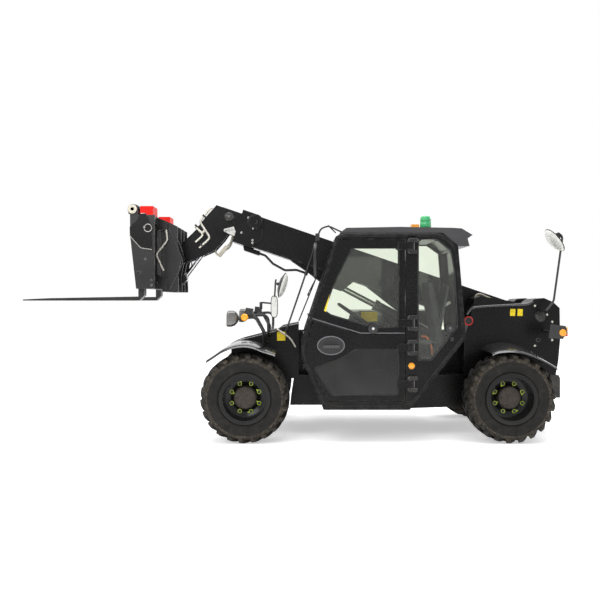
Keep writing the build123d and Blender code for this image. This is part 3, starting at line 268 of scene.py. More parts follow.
PLAIN = {      # small parts' finish: the slot it mostly belongs to, colour, roughness, metal, coat, glow
    "yellow_label": ("black_paint", (0.88, 0.66, 0.01), 0.5),
    "white_label": ("black_paint", (0.62, 0.62, 0.60), 0.5),
    "amber_lens": ("lamp_plastic", (0.95, 0.36, 0.004), 0.15, 0, 0.5, 0.1),
    "red_lens": ("lamp_plastic", (0.6, 0.02, 0.01), 0.15, 0, 0.6),
    "clear_lens": ("lamp_plastic", (0.42, 0.43, 0.44), 0.12, 0.7, 0.8),
    "pointer": ("roof_plastic", (0.45, 0.62, 0.03), 0.45),
    "bare_steel": ("zinc_pipe", (0.36, 0.35, 0.33), 0.38, 0.85),
    "gasket": ("lamp_plastic", (0.012, 0.012, 0.012), 0.6),
    "cream_ring": ("pad_plastic", (0.62, 0.58, 0.47), 0.5),
    "cream_hose": ("pad_plastic", (0.48, 0.45, 0.36), 0.5),
    "hub_grime": ("dark_casting", (0.045, 0.036, 0.028), 0.75),
    "red_ring": ("red_paint", (0.62, 0.02, 0.015), 0.35, 0, 0.3),
    "black_part": ("lamp_plastic", (0.011, 0.011, 0.0115), 0.34),
    "trim_edge": ("worn_steel", (0.05, 0.05, 0.053), 0.3),
    # pale grey on edges, rims, beads and a knob centre: a painted highlight
    "painted_highlight_grey": ("black_paint", (0.13, 0.13, 0.14), 0.35),
    "lamp_shell": ("lamp_plastic", (0.16, 0.155, 0.15), 0.28, 0.7, 0.5),
    "bright_pipe": ("zinc_pipe", (0.62, 0.6, 0.53), 0.32, 0.35),
    # near-black for clasps and the filler neck, and as painted shade in the door handle's recess
    "deep_black_and_painted_shade": ("lamp_plastic", (0.0022, 0.0022, 0.0023), 0.5),
    # near-white and not mirror-like: a painted reflection on mirror faces and a knob centre
    "painted_reflection_white": ("chrome_rod", (0.72, 0.72, 0.68), 0.3, 0, 0.5),
    "beacon_lens": ("beacon_green", (0.012, 0.42, 0.13), 0.12, 0, 0.8, 0.06),
    "orange_belt": ("seat_cloth", (0.7, 0.16, 0.03), 0.6),
}
FINISHES = {name: coated(name, *row[:3], **row[3]) for name, row in COATED.items()}
FINISHES["tinted_glass"] = glass("tinted_glass", (0.965, 0.985, 0.94))
FINISHES["dark_glass"] = glass("dark_glass", (0.16, 0.17, 0.17))
FINISHES.update({name: plain(name, *row[1:]) for name, row in PLAIN.items()})
FINISHES["tyre_tread"] = tyre_rubber("tyre_tread")
OWN_FINISH = {"tail_lamps": "lamp_plastic", "door_lower_glass": "dark_glass"}


def finish_cad_nodes():
    """Every CAD node that stays in view takes the finish of its slot, or one of its own."""
    for subpart in frame["record"]["subparts"]:
        node = subpart["node"]
        NODES[node].data.materials.clear()
        NODES[node].data.materials.append(FINISHES[OWN_FINISH.get(node, subpart["material_slot"])])


# ---- shapes, drawn in millimetres
MM = 0.001
WELD = 0.01           # points this near to one another become one
ON_AXIS = 0.05        # radius of a turned piece's end at its axis
SHARP = 0.5           # radians between two faces from which their edge is rounded
NEAR, UP = (0, -1, 0), (0, 0, 1)
SIDES = (("near", -1), ("far", 1))
HANDS = (("left", -1), ("right", 1))


def piece(name, finish, *shapes, slot=None, body="chassis", at=(0, 0, 0), angle=32):
    """Object made of shapes, in its finish, riding on a CAD body.

    A shape is a drawing function and what it is given after the mesh.
    """
    bm = bmesh.new()
    for draw, *given in shapes:
        draw(bm, *given)
    bmesh.ops.remove_doubles(bm, verts=bm.verts, dist=WELD)
    bmesh.ops.recalc_face_normals(bm, faces=bm.faces)
    bmesh.ops.scale(bm, vec=(MM, MM, MM), verts=bm.verts)
    mesh = bpy.data.meshes.new(name)
    bm.to_mesh(mesh)
    bm.free()
    mesh.materials.append(FINISHES[finish])
    mesh.polygons.foreach_set("use_smooth", [True] * len(mesh.polygons))
    mesh.set_sharp_from_angle(angle=math.radians(angle))
    obj = link(bpy.data.objects.new(name, mesh))
    obj.location = [c * MM for c in at]
    slot = slot or (PLAIN[finish][0] if finish in PLAIN else finish)
    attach(obj, body)
    return obj


def turns(count, start=0.0):
    """Angles spread evenly round a circle."""
    return [2 * math.pi * (k + start) / count for k in range(count)]


def oval(middle, reach, count, start=0.0, powers=(1, 1)):
    """Closed outline round a middle; powers below 1 push it out towards a rectangle."""
    return [tuple(m + r * math.copysign(abs(wave) ** power, wave)
                  for m, r, wave, power in zip(middle, reach, (math.cos(t), math.sin(t)), powers))
            for t in turns(count, start)]


def loft(bm, rings, caps=True):
    """Skin over rings of points, each ring closed."""
    made = [[bm.verts.new(p) for p in ring] for ring in rings]
    count = len(made[0])
    for low, high in zip(made, made[1:]):
        for i in range(count):
            k = (i + 1) % count
            bm.faces.new((low[i], low[k], high[k], high[i]))
    if caps:
        bm.faces.new(made[0])
        bm.faces.new(made[-1])


def lathe(bm, profile, at, axis, segments=32):
    """Turned piece: (radius, distance along the axis) pairs from one end to the other."""
    at, axis = Vector(at), Vector(axis).normalized()
    a = axis.orthogonal().normalized()
    b = axis.cross(a)
    loft(bm, [[at + axis * h + (a * math.cos(t) + b * math.sin(t)) * max(r, ON_AXIS) for t in turns(segments)]
              for r, h in profile], caps=profile[0] != profile[-1])


def knob(bm, profile, at, axis, segments=32):
    """Turned piece with a flat end on both sides."""
    lathe(bm, [(0, profile[0][1]), *profile, (0, profile[-1][1])], at, axis, segments)


def washer(inner, outer, height):
    return [(inner, 0), (outer, 0), (outer, height), (inner, height), (inner, 0)]


def solid(bm, rings, round_by):
    """Loft whose sharp edges are rounded."""
    before = len(bm.faces)
    loft(bm, rings)
    if round_by:
        edges = {e for f in list(bm.faces)[before:] for e in f.edges
                 if len(e.link_faces) == 2 and e.calc_face_angle(0) > SHARP}
        bmesh.ops.bevel(bm, geom=list(edges), offset=round_by, segments=2, affect="EDGES", profile=0.6,
                        clamp_overlap=True)


def turned_y(degrees):
    return Matrix.Rotation(math.radians(degrees), 3, "Y")


def block(bm, low, high, round_by=2.0, turn=0):
    """Box from its low and high corners, its edges rounded, turned about its middle by degrees round y."""
    low, high = Vector(low), Vector(high)
    middle, half = (low + high) / 2, (high - low) / 2
    corner = [middle + turned_y(turn) @ Vector((half.x * i, half.y * j, half.z * k))
              for k in (-1, 1) for i, j in ((-1, -1), (1, -1), (1, 1), (-1, 1))]
    solid(bm, [corner[:4], corner[4:]], round_by)


def slab(bm, points, y, round_by=1.5, place=lambda x, z, y: (x, y, z)):
    """Outline of (x, z) pairs, from the low to the high y; place turns a pair and a y into a point."""
    solid(bm, [[place(x, z, level) for x, z in points] for level in y], round_by)


def flat(y, *points):
    """Points from their x and z, all at one y."""
    return [(x, y, z) for x, z in points]


def rounded(points, radius, steps=5):
    """Line with its corners rounded."""
    points = [Vector(p) for p in points]
    line = [points[0]]
    for before, corner, after in zip(points, points[1:], points[2:]):
        reach = min(radius, (before - corner).length * 0.48, (after - corner).length * 0.48)
        start = corner + (before - corner).normalized() * reach
        end = corner + (after - corner).normalized() * reach
        for k in range(steps + 1):
            t = k / steps
            line.append(start * (1 - t) ** 2 + corner * 2 * t * (1 - t) + end * t * t)
    return line + [points[-1]]


def loop(points, radius, steps):
    """Closed line with its corners rounded."""
    return rounded(points + points[:2], radius, steps)[1:-1]


def tube(bm, points, radius, bend=30, sides=12):
    """Round bar, pipe or hose along a line with rounded corners."""
    line = rounded(points, bend) if bend else [Vector(p) for p in points]
    rings = []
    side = None
    for k, point in enumerate(line):
        ahead = (line[min(k + 1, len(line) - 1)] - line[max(k - 1, 0)]).normalized()
        side = ahead.orthogonal() if side is None else side - ahead * side.dot(ahead)
        side.normalize()
        other = ahead.cross(side)
        rings.append([point + (side * math.cos(t) + other * math.sin(t)) * radius for t in turns(sides)])
    loft(bm, rings)


def bolt(bm, at, axis, radius):
    """Hexagon head on a washer, standing out along the axis."""
    at, axis = Vector(at), Vector(axis).normalized()
    knob(bm, [(radius * 1.5, 0), (radius * 1.5, radius * 0.22)], at, axis, 20)
    knob(bm, [(radius * 1.08, 0), (radius * 1.08, radius * 0.68), (radius * 0.86, radius * 0.86)],
         at + axis * radius * 0.2, axis, 6)


def bolts(name, finish, places, axis, radius, body="chassis"):
    return piece(name, finish, *[(bolt, at, axis, radius) for at in places], body=body)


def label(name, finish, low, high, turn=0):
    """Blank sticker or plate."""
    return piece(name, finish, (block, low, high, 0.4, turn))


# ---- wheels
AXLES = {"front": -432, "rear": 1998}
WHEEL_Y = 770
WHEEL_Z = 410
TYRE_REACH = 409.6   # radius that no lug passes
LUGS = 22
LUG_FOOT = 7         # how deep a lug stands in the carcass
LUG_DRAFT = 5.5
LUG_CHAMFER = 4
LUG_START = 36
CARCASS = [          # radius, distance out from the wheel's middle plane
    (216, 128), (239, 131), (243, 137), (247, 139.5), (256, 142), (258, 144), (263, 144.4), (266, 143.6),
    (300, 148.5), (330, 148.6), (340, 147.6), (342.5, 149.6), (347, 149.2), (351, 144.5), (362, 135), (371, 116),
    (376, 90), (378, 50), (378.5, 0),
]
LUG_STATIONS = [     # round the tyre, radius, out from the middle, height, direction out, half width
    (-47, 344, 147, 1.2, (0.22, 0.97), 19),
    (-47, 357, 139.5, 14, (0.42, 0.91), 20),
    (-45, 368, 126, 26, (0.74, 0.67), 21.5),
    (-37, 374, 106, 33, (0.95, 0.31), 23),
    (-17, 377, 78, 32.6, (1, 0), 23),
    (8, 378, 46, 31.9, (1, 0), 22),
    (36, 378, 12, 31.6, (1, 0), 19),
]
WHEEL_NUTS = 8
NUT_CIRCLE = 137


def tyre(bm, hand):
    """Tyre round the y axis; hand -1 or 1 says which side of it faces out of the machine."""
    line = [(r, hand * w) for r, w in CARCASS] + [(r, -hand * w) for r, w in reversed(CARCASS[:-1])]
    rings = [[(r * math.cos(t), w, r * math.sin(t)) for t in turns(LUGS * 4)] for r, w in line]
    loft(bm, rings, caps=False)
    loft(bm, [rings[0], rings[-1]], caps=False)
    for number in range(2 * LUGS):
        side = hand if number % 2 else -hand
        start = math.pi * (number + 0.5) / LUGS + LUG_START / WHEEL_Z - math.pi / 2
        stations = []
        for around, r, out, height, (dr, dw), half in LUG_STATIONS:
            low, shoulder, top = [(r + rise * dr, out + rise * dw)
                                  for rise in (-LUG_FOOT, height - LUG_CHAMFER, height)]
            ring = []
            for (rr, ww), offset in ((low, -half - LUG_DRAFT), (shoulder, -half), (top, -half + LUG_CHAMFER),
                                     (top, half - LUG_CHAMFER), (shoulder, half), (low, half + LUG_DRAFT)):
                t = start + (around + offset) / WHEEL_Z
                reach = min(rr, TYRE_REACH)
                ring.append((reach * math.cos(t), side * ww, reach * math.sin(t)))
            stations.append(ring)
        loft(bm, stations)


def nut_pointer(bm, nut, outward, way):
    """Collar round a wheel nut, with a tongue that points some way."""
    lathe(bm, washer(14.6, 20, 5), nut + outward * 5, outward, 20)
    tip = Vector((math.cos(way), 0, math.sin(way)))
    across = tip.cross(outward)
    base = nut + tip * 18 + outward * 5
    loft(bm, [[end + across * w + outward * h for w, h in ((-wide, 0), (wide, 0), (wide, high), (-wide, high))]
              for end, wide, high in ((base, 9, 4.5), (base + tip * 17, 1.5, 4))])


def make_wheel(end, side, hand):
    wheel = f"{end}_{side}"
    outward = Vector((0, hand, 0))

    def spot(radius, turn, proud):
        """Point on a circle round the axle, standing out from the wheel's middle plane."""
        return Vector((AXLES[end] + radius * math.cos(turn), hand * WHEEL_Y + hand * proud,
                       WHEEL_Z + radius * math.sin(turn)))

    def fitted(name, finish, *shapes, **more):
        return piece(f"{name}_{wheel}", finish, *shapes, body=f"wheel_{wheel}", **more)

    tread = fitted("tread", "tyre_tread", (tyre, hand), slot="tyre_rubber", at=spot(0, 0, 0), angle=28)
    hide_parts(f"tyre_{wheel}")
    nuts = [spot(NUT_CIRCLE, turn, 8) for turn in turns(WHEEL_NUTS, 0.5)]
    fitted("wheel_nuts", "worn_steel", *[(bolt, nut, outward, 14) for nut in nuts])
    fitted("nut_pointers", "pointer", *[(nut_pointer, nut, outward, random.uniform(0, 2 * math.pi)) for nut in nuts])
    fitted("hub_cover", "hub_grime",
        (knob, [(30, 3.4), (33, 2.2), (40, 2.2), (42, 0.8), (84, 0.8), (98, -6), (106.4, -20), (107, -62)],
         spot(0, 0, 60), outward, 48), *[(bolt, spot(72, turn, 60), outward, 6.5) for turn in turns(6)],
        *[(knob, [(9, 0), (9, 4), (6, 5.5)], spot(22, turn, 63), outward, 16) for turn in (0.7, math.pi + 0.7)])
    fitted("valve", "black_part",
        (knob, [(7, 0), (7, 6), (4.5, 8), (4.5, 30), (6, 30), (6, 42)],
         spot(0, 0, 26) + Vector((-150, 0, 98)), (0.15, hand, -0.1), 14), slot="hose_rubber")
    fitted("rim_lip", "rim_paint",
        (lathe, [(199.5, 0), (214, 0), (214, 2.5), (236, 2.5), (238, 0), (238, -3), (199.5, -3), (199.5, 0)],
         spot(0, 0, 142.3), outward, 72))


def make_wheels():
    random.seed(41)
    for end in AXLES:
        for side, hand in HANDS:
            make_wheel(end, side, hand)


# ---- seat
PAD_CELLS = (30, 26)  # faces along and across a pad
SEAMS = (-0.36, 0.36)
SEAM_WIDTH = 0.035
SEAM_DEPTH = 5


def pad(bm, centre, size, turn, crown, bolster):
    """Stuffed closed pad: crowned faces, sides drawn in between its corners, sewn channels along it."""
    nu, nv = PAD_CELLS
    half = Vector(size) / 2
    grid = {}
    for face in (-1, 1):
        for i in range(nu + 1):
            for k in range(nv + 1):
                u, v = 2 * i / nu - 1, 2 * k / nv - 1
                swell = (1 - abs(u) ** 3.2) * (1 - abs(v) ** 3.2)
                lift = half.z * (0.42 + 0.58 * swell ** 0.38) + crown * swell * (1 if face > 0 else 0.15)
                if face > 0:
                    for seam in SEAMS:
                        lift -= SEAM_DEPTH * math.exp(-((v - seam) / SEAM_WIDTH) ** 2) * swell
                    lift += bolster * max(0.0, abs(v) - 0.5) * 2 * swell
                corner_in = 1 - 0.035 * (abs(u) * abs(v)) ** 6
                x = half.x * u * (1 - 0.03 * (1 - abs(v) ** 2) * abs(u) ** 4) * corner_in
                y = half.y * v * (1 - 0.025 * (1 - abs(u) ** 2) * abs(v) ** 4) * corner_in
                grid[face, i, k] = bm.verts.new(Vector(centre) + turned_y(turn) @ Vector((x, y, face * lift)))
    for face in (-1, 1):
        for i in range(nu):
            for k in range(nv):
                quad = [grid[face, i, k], grid[face, i + 1, k], grid[face, i + 1, k + 1], grid[face, i, k + 1]]
                bm.faces.new(quad if face > 0 else quad[::-1])
    rim = [(i, 0) for i in range(nu)] + [(nu, k) for k in range(nv)] + \
          [(nu - i, nv) for i in range(nu)] + [(0, nv - k) for k in range(nv)]
    for (a, b), (c, d) in zip(rim, rim[1:] + rim[:1]):
        bm.faces.new((grid[-1, a, b], grid[-1, c, d], grid[1, c, d], grid[1, a, b]))


def cushion(name, *given):
    cloth = piece(name, "seat_cloth", (pad, *given), angle=60)
    smooth = cloth.modifiers.new("smooth", "SUBSURF")
    smooth.levels = smooth.render_levels = 1
    return cloth


def make_seat():
    squab = cushion("seat_squab", (1082, -555, 768), (352, 408, 92), 4, 9, 12)
    cushion("seat_back", (1340, -555, 1160), (660, 392, 74), -100.5, 10, 14)
    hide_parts("seat")
    piece("seat_shell", "roof_plastic",
        (slab, [(920, 702), (1240, 702), (1330, 742), (1460, 1440), (1444, 1452), (1300, 762), (1236, 724),
                (915, 722)], (-742, -368), 6))
    piece("seat_armrest", "roof_plastic", (block, (1010, -772, 905), (1290, -728, 945), 14, 3),
        (tube, [(1290, -750, 925), (1340, -750, 915)], 14, 0))


# ---- cab
CAB_Y = -880
UPPER_GLASS = [(538, 1780), (974, 1780), (974, 1062), (755, 1050), (345, 1172), (290, 1215), (373, 1447)]
LOWER_GLASS = [(571, 862), (974, 862), (974, 440), (360, 440), (200, 690), (454, 784)]
QUARTER = [(1147, 1857), (1320, 1866), (1448, 1766), (1484, 1583), (1511, 1064), (1275, 760), (1147, 760)]
SEAL_RADIUS = 8
SEAL_INSET = 4
HINGES = {"upper_door": (1101, 1801), "lower_door": (546, 878)}
CAB_FRAME = [(308, 330), (1056, 330), (1560, 966), (1560, 1016), (1492, 1796), (1366, 1900), (462, 1900), (415, 1874),
             (107, 944), (112, 782)]


def seal(name, points, y, body="chassis"):
    """Rubber seal round a pane."""
    middle = Vector((sum(p[0] for p in points), sum(p[1] for p in points))) / len(points)
    line = []
    for x, z in points:
        away = (Vector((x, z)) - middle).normalized()
        line.append(Vector((x - away.x * SEAL_INSET, y, z - away.y * SEAL_INSET)))
    piece(name, "gasket", (tube, loop(line, 26, 4), SEAL_RADIUS, 0, 8), slot="hose_rubber", body=body)


def make_hinges():
    """Straps with their bolts, each held by a dark clasp whose pale edges are a painted highlight."""
    for body, heights in HINGES.items():
        piece(f"{body}_hinge_clasps", "deep_black_and_painted_shade",
            *[(block, (1054, -902, z - 62), (1110, -884, z + 62), 9) for z in heights], slot="worn_steel")
        edges = []
        for z in heights:
            line = loop(flat(-902, (1053, z + 63), (1111, z + 63), (1111, z - 63), (1053, z - 63)), 16, 5)
            edges.append((tube, line + line[:2], 3.4, 0, 8))
            edges += [(lathe, [(0, 0), (8, 0), (8, 5), (0, 7)], (1104, -900, z + dz), NEAR, 12) for dz in (-58, 58)]
        piece(f"{body}_hinge_edges", "painted_highlight_grey", *edges, slot="worn_steel")
        bolts(f"{body}_hinge_bolts", "worn_steel",
            [(x, CAB_Y - 0.5, z + dz) for z in heights for x in (985, 1022) for dz in (-18, 18)], NEAR, 6, body)
        piece(f"{body}_hinge_straps", "worn_steel",
            *[(block, (962, CAB_Y - 5, z - 32), (1060, CAB_Y - 0.5, z + 32)) for z in heights], body=body)


def make_door():
    upper, lower = dict(body="upper_door"), dict(slot="black_paint", body="lower_door")
    # Oval dish with a rolled rim on the lower door, a near-black oval above the pull that is painted shade of the
    # finger recess, and the pull across it.
    dish = oval((354, 895), (122, 82), 40)
    piece("door_handle_dish", "black_part", (slab, dish, (CAB_Y - 3, CAB_Y - 0.5), 0), **lower)
    piece("door_handle_painted_shade", "deep_black_and_painted_shade",
        (slab, oval((356, 913), (74, 26), 28), (CAB_Y - 5, CAB_Y - 2.5), 0), **lower)
    # The rolled rim's pale grey is a painted highlight.
    piece("door_handle_ring", "painted_highlight_grey", (tube, flat(CAB_Y - 4, *dish, *dish[:2]), 6, 0, 10), **lower)
    piece("door_handle_pull", "trim_edge", (block, (284, CAB_Y - 22, 872), (432, CAB_Y - 6, 898), 7),
        *[(block, (x, CAB_Y - 12, 875), (x + 20, CAB_Y - 2, 895), 3) for x in (288, 408)], **lower)

    # Bead and dark sill along the doors' parting line, edge strip of the glass, latch. The bead's pale grey is a
    # painted highlight.
    piece("upper_door_bead", "painted_highlight_grey",
        (tube, flat(CAB_Y - 1, (152, 1152), (623, 1008), (1028, 1008)), 5, 20, 8), **upper)
    piece("upper_door_sill", "gasket",
        (slab, [(138, 1190), (150, 1128), (420, 1048), (420, 1108)], (CAB_Y + 10, CAB_Y + 22), 1),
        slot="black_paint", **upper)
    piece("door_edge_strip", "yellow_label",
        (slab, [(336, 1416), (354, 1412), (309, 1202), (290, 1198)], (CAB_Y + 1, CAB_Y + 4), 0.5), **upper)
    piece("upper_door_latch", "black_part", (block, (928, CAB_Y + 6, 1462), (994, CAB_Y + 26, 1528), 8),
        (block, (940, CAB_Y - 2, 1476), (982, CAB_Y + 8, 1514), 5), **upper)


def make_inside():
    """Dash with its instruments, levers, pedals, lining, plates without print and the belt."""
    piece("dashboard", "roof_plastic",
        (slab, [(350, 700), (520, 700), (560, 980), (470, 1080), (330, 1090), (270, 1010), (300, 860)],
         (-640, -260), 16))
    piece("gauges", "gasket", *[(knob, [(38, 0), (38, 8), (33, 10)], (515, y, 1038), (0.66, 0, 0.75), 28)
        for y in (-575, -470, -400)])
    piece("levers", "black_part", (tube, [(545, -440, 1085), (560, -360, 1150), (575, -330, 1180)], 7, 20, 10),
        (tube, [(545, -600, 1085), (560, -690, 1130), (575, -720, 1150)], 7, 20, 10),
        (lathe, [(0, 0), (15, 0), (19, 18), (12, 34), (0, 36)], (940, -268, 1058), (-0.1, 0, 1), 20))
    piece("pedals", "black_part", *[shape for y in (-760, -690, -360) for shape in (
        (block, (395, y - 32, 470), (411, y + 32, 560), 4, 25), (tube, [(403, y, 515), (350, y, 640)], 7, 0, 8))],
        slot="worn_steel")
    piece("roof_lining", "roof_plastic", (block, (470, -830, 1862), (1330, -230, 1876), 4))
    label("window_plate", "yellow_label", (683, -204, 1095), (846, -202, 1192))
    label("dash_plate", "yellow_label", (612, -262, 1010), (640, -260, 1080))
    label("seat_plate", "white_label", (1425, -700, 1262), (1482, -698, 1290), -32)
    piece("seat_belt", "orange_belt",
        (tube, [(1196, -748, 972), (1240, -752, 974), (1270, -752, 940), (1298, -748, 858), (1300, -744, 800)],
         11, 26, 10))


def make_cab():
    seal("upper_door_seal", UPPER_GLASS, CAB_Y + 12, "upper_door")
    seal("lower_door_seal", LOWER_GLASS, CAB_Y + 12, "lower_door")
    seal("quarter_window_seal", QUARTER, CAB_Y + 6)
    make_door()
    make_hinges()
    make_inside()

    line = loop(flat(CAB_Y + 12, *CAB_FRAME), 95, 8)
    piece("cab_frame_tube", "black_paint", (tube, line + line[:2], 21, 0, 14))

    # The knob centres are light by painting: a white painted reflection and a pale grey painted highlight.
    for name, (x, y, z), radius, centre, body in (
            ("upper_door_knob", (738, CAB_Y + 8, 1049), 50, "painted_reflection_white", "upper_door"),
            ("quarter_window_knob", (1437, CAB_Y + 2, 1055), 46, "painted_highlight_grey", "chassis")):
        piece(f"{name}_centre", centre, (lathe, [(0, 0), (13, 0), (12, 3), (0, 4)], (x, y - 23, z), NEAR, 20),
            slot="lamp_plastic", body=body)
        piece(name, "black_part",
            (knob, [(radius, 0), (radius, 12), (radius - 5, 20), (radius * 0.4, 24)], (x, y, z), NEAR, 28), body=body)
    piece("quarter_window_catch", "black_part", (block, (1440, CAB_Y - 16, 935), (1470, CAB_Y - 1, 972), 4))

    piece("pillar_lamp_lens", "amber_lens",
        (lathe, [(0, 0), (29, 0), (29, 7), (23, 14), (10, 18), (0, 18.5)], (1088, CAB_Y - 5, 710), NEAR))
    piece("pillar_lamp_base", "gasket", (knob, [(35, 0), (35, 5), (30, 8)], (1088, CAB_Y, 710), NEAR))
    piece("windscreen_wiper", "gasket", (tube, [(150, -560, 1372), (215, -540, 1500)], 5, 0, 8),
        (tube, [(60, -545, 1110), (236, -540, 1545)], 6, 0, 8),
        (lathe, [(0, 0), (16, 0), (14, 22), (0, 24)], (165, -560, 1360), (-0.94, 0, 0.31), 20))
    piece("cab_step", "worn_steel", *[(block, (x, -876, 316), (x + 12, -800, 360)) for x in (460, 640)],
        *[(block, (455, y, 312), (657, y + 12, 330)) for y in (-872, -846, -820)])


# ---- boom
PIVOT_AT = (2400, 1150)
BOOM_TURN = math.radians(18.8)


def on_boom(u, v, y):
    """Point from its place along the boom, square to it and across it."""
    return Vector((PIVOT_AT[0] - u * math.cos(BOOM_TURN) + v * math.sin(BOOM_TURN), y,
                   PIVOT_AT[1] + u * math.sin(BOOM_TURN) + v * math.cos(BOOM_TURN)))


def pin_caps(name, body, at, cap_y, bolt_y, rise):
    """Cap and bolt on both ends of a pin; at turns a y into a point."""
    piece(name, "worn_steel", *[shape for _, hand in SIDES for shape in (
        (knob, [(44, 0), (44, rise), (34, rise + 6), (16, rise + 8)], at(hand * cap_y), (0, hand, 0), 28),
        (bolt, at(hand * bolt_y), (0, hand, 0), 9))], body=body)


def make_boom():
    for side, hand in SIDES:
        out = (0, hand, 0)
        bolts(f"collar_bolts_{side}", "bare_steel",
            [*flat(hand * 134.5, (-449, 2141), (-337, 2101), (-520, 1990), (-407, 1914), (-409, 1887)),
             (-402, hand * 142.5, 2032)], out, 8, "boom")
        piece(f"collar_hub_{side}", "black_paint",
            (knob, [(78, 0), (78, 3), (62, 5), (62, 9), (20, 9), (18, 5)], on_boom(2937, 3, hand * 142), out, 40),
            body="boom")
        piece(f"boom_weld_{side}", "black_paint",
            (slab, [(700, -236), (2740, -236), (2740, -228), (700, -228)], sorted((hand * 120, hand * 124)), 1.0,
             on_boom), body="boom")
    pin_caps("tilt_pin_caps", "extension", lambda y: on_boom(3208, -29, y), 108, 121, 6)
    pin_caps("hitch_pin_caps", "carriage", lambda y: (-1194.6, y, 1716.8), 118, 126, 7)
    # Pale bracket with hose unions on the head's side, and the pale valve block under the neck.
    piece("pale_bracket", "white_label",
        (slab, [(-699, 2030), (-599, 2055), (-587, 2014), (-500, 1962), (-512, 1932), (-584, 1957), (-655, 1983),
                (-699, 2006)], (-106, -100), 1), slot="zinc_pipe", body="extension")
    piece("hose_unions", "bare_steel",
        *[(knob, [(9, 0), (9, 12), (7, 12), (7, 20)], (x, -106, z), NEAR, 12)
          for x, z in ((-681, 2018), (-650, 2022), (-618, 2030), (-560, 1985), (-530, 1962))], body="extension")
    piece("valve_block", "cream_hose",
        (slab, [(-690, 1872), (-661, 1851), (-747, 1748), (-775, 1762)], (-56, 20), 5), body="extension")


# ---- hitch and fork frame
FRAME_BOLTS = [(-1340, 1450), (-1340, 1500), (-1340, 1880), (-1400, 1700)]
HOOK_PLATE = [(-1454, 2128), (-1478, 2071), (-1546, 2004), (-1544, 1919), (-1440, 1804), (-1335, 1790),
              (-1335, 2014), (-1383, 2099), (-1392, 2133)]


def make_hitch():
    def fitted(name, finish, *shapes, **more):
        return piece(name, finish, *shapes, body="carriage", **more)

    fitted("shaft_end_rings", "cream_ring",
        *[(lathe, [(17, 0), (43, 0), (43, 5), (36, 8), (20, 7), (17, 5), (17, 0)], (-1519.6, hand * 592.2, 2173.8),
           (0, hand, 0), 36) for _, hand in SIDES])
    ring = oval((-1371, 1994), (36, 36), 24)
    fitted("lynch_pins", "bare_steel", *[shape for _, hand in SIDES for shape in (
        (tube, flat(hand * 597, *ring, ring[0]), 4.5, 0, 8),
        (knob, [(9, 0), (9, 12)], (-1405, hand * 588, 2002), (0, hand, 0), 14))], slot="chrome_rod")
    fitted("rivet_plate", "bare_steel", (block, (-1440, -589.5, 2112), (-1400, -586, 2136), 1.5))
    fitted("stop_rings", "worn_steel",
        *[(lathe, washer(15, 25, 4), (-1461, hand * 580, 1566), (0, hand, 0), 28) for _, hand in SIDES])
    fitted("release_lever", "bright_pipe",
        (tube, flat(-343, (-1243, 1999), (-1230, 1896), (-1342, 1757), (-1269, 1599)), 8, 26, 10),
        *[(block, (x - 8, -345, z - 8), (x + 8, -320, z + 8))
          for x, z in ((-1243, 1990), (-1300, 1808), (-1272, 1606))])
    # Hooked cover plates on the frame's ends, with their bent edge, and ribs along the hitch plates.
    for side, hand in SIDES:
        fitted(f"hook_plate_{side}", "black_paint", (slab, HOOK_PLATE, sorted((hand * 581, hand * 590)), 2))
        fitted(f"hook_edge_{side}", "bare_steel",
            (tube, flat(hand * 588, (-1544, 1919), (-1440, 1804), (-1335, 1790)), 4, 20, 8), slot="worn_steel")
        fitted(f"hitch_rib_{side}", "trim_edge",
            (tube, flat(hand * 322, (-1217, 2010), (-1078, 1688), (-1205, 1420)), 6, 40, 8),
            (tube, flat(hand * 322, (-1180, 1990), (-1120, 1880), (-1085, 1780)), 5, 30, 8))
        bolts(f"frame_bolts_{side}", "worn_steel", flat(hand * 580, *FRAME_BOLTS), (0, hand, 0), 9, "carriage")


# ---- mirrors, beacon, mudguards and pipes
DOME = [(1, 0), (0.96, 0.25), (0.82, 0.56), (0.6, 0.8), (0.32, 0.95), (0, 1)]     # parts of the radius and depth


def dome_mirror(name, at, face, radius, depth, back, *arm):
    """Round mirror with a bulging face in flat white as a painted reflection, and its dark shell with a ball joint, on
    an arm.
    """
    piece(f"{name}_face", "painted_reflection_white", (lathe, [(radius * r, depth * h) for r, h in DOME], at, face, 40))
    return piece(f"{name}_arm", "black_part",
        (lathe, [(radius, 2), (radius + 6, 0), (radius + 5, -5), (radius * 0.9, -back * 0.4),
                 (radius * 0.6, -back * 0.85), (radius * 0.2, -back), (0, -back)], at, face, 40),
        (lathe, [(0, 4 - back), (11, -back), (16, -10 - back), (11, -21 - back), (0, -24 - back)], at, face, 18), *arm)


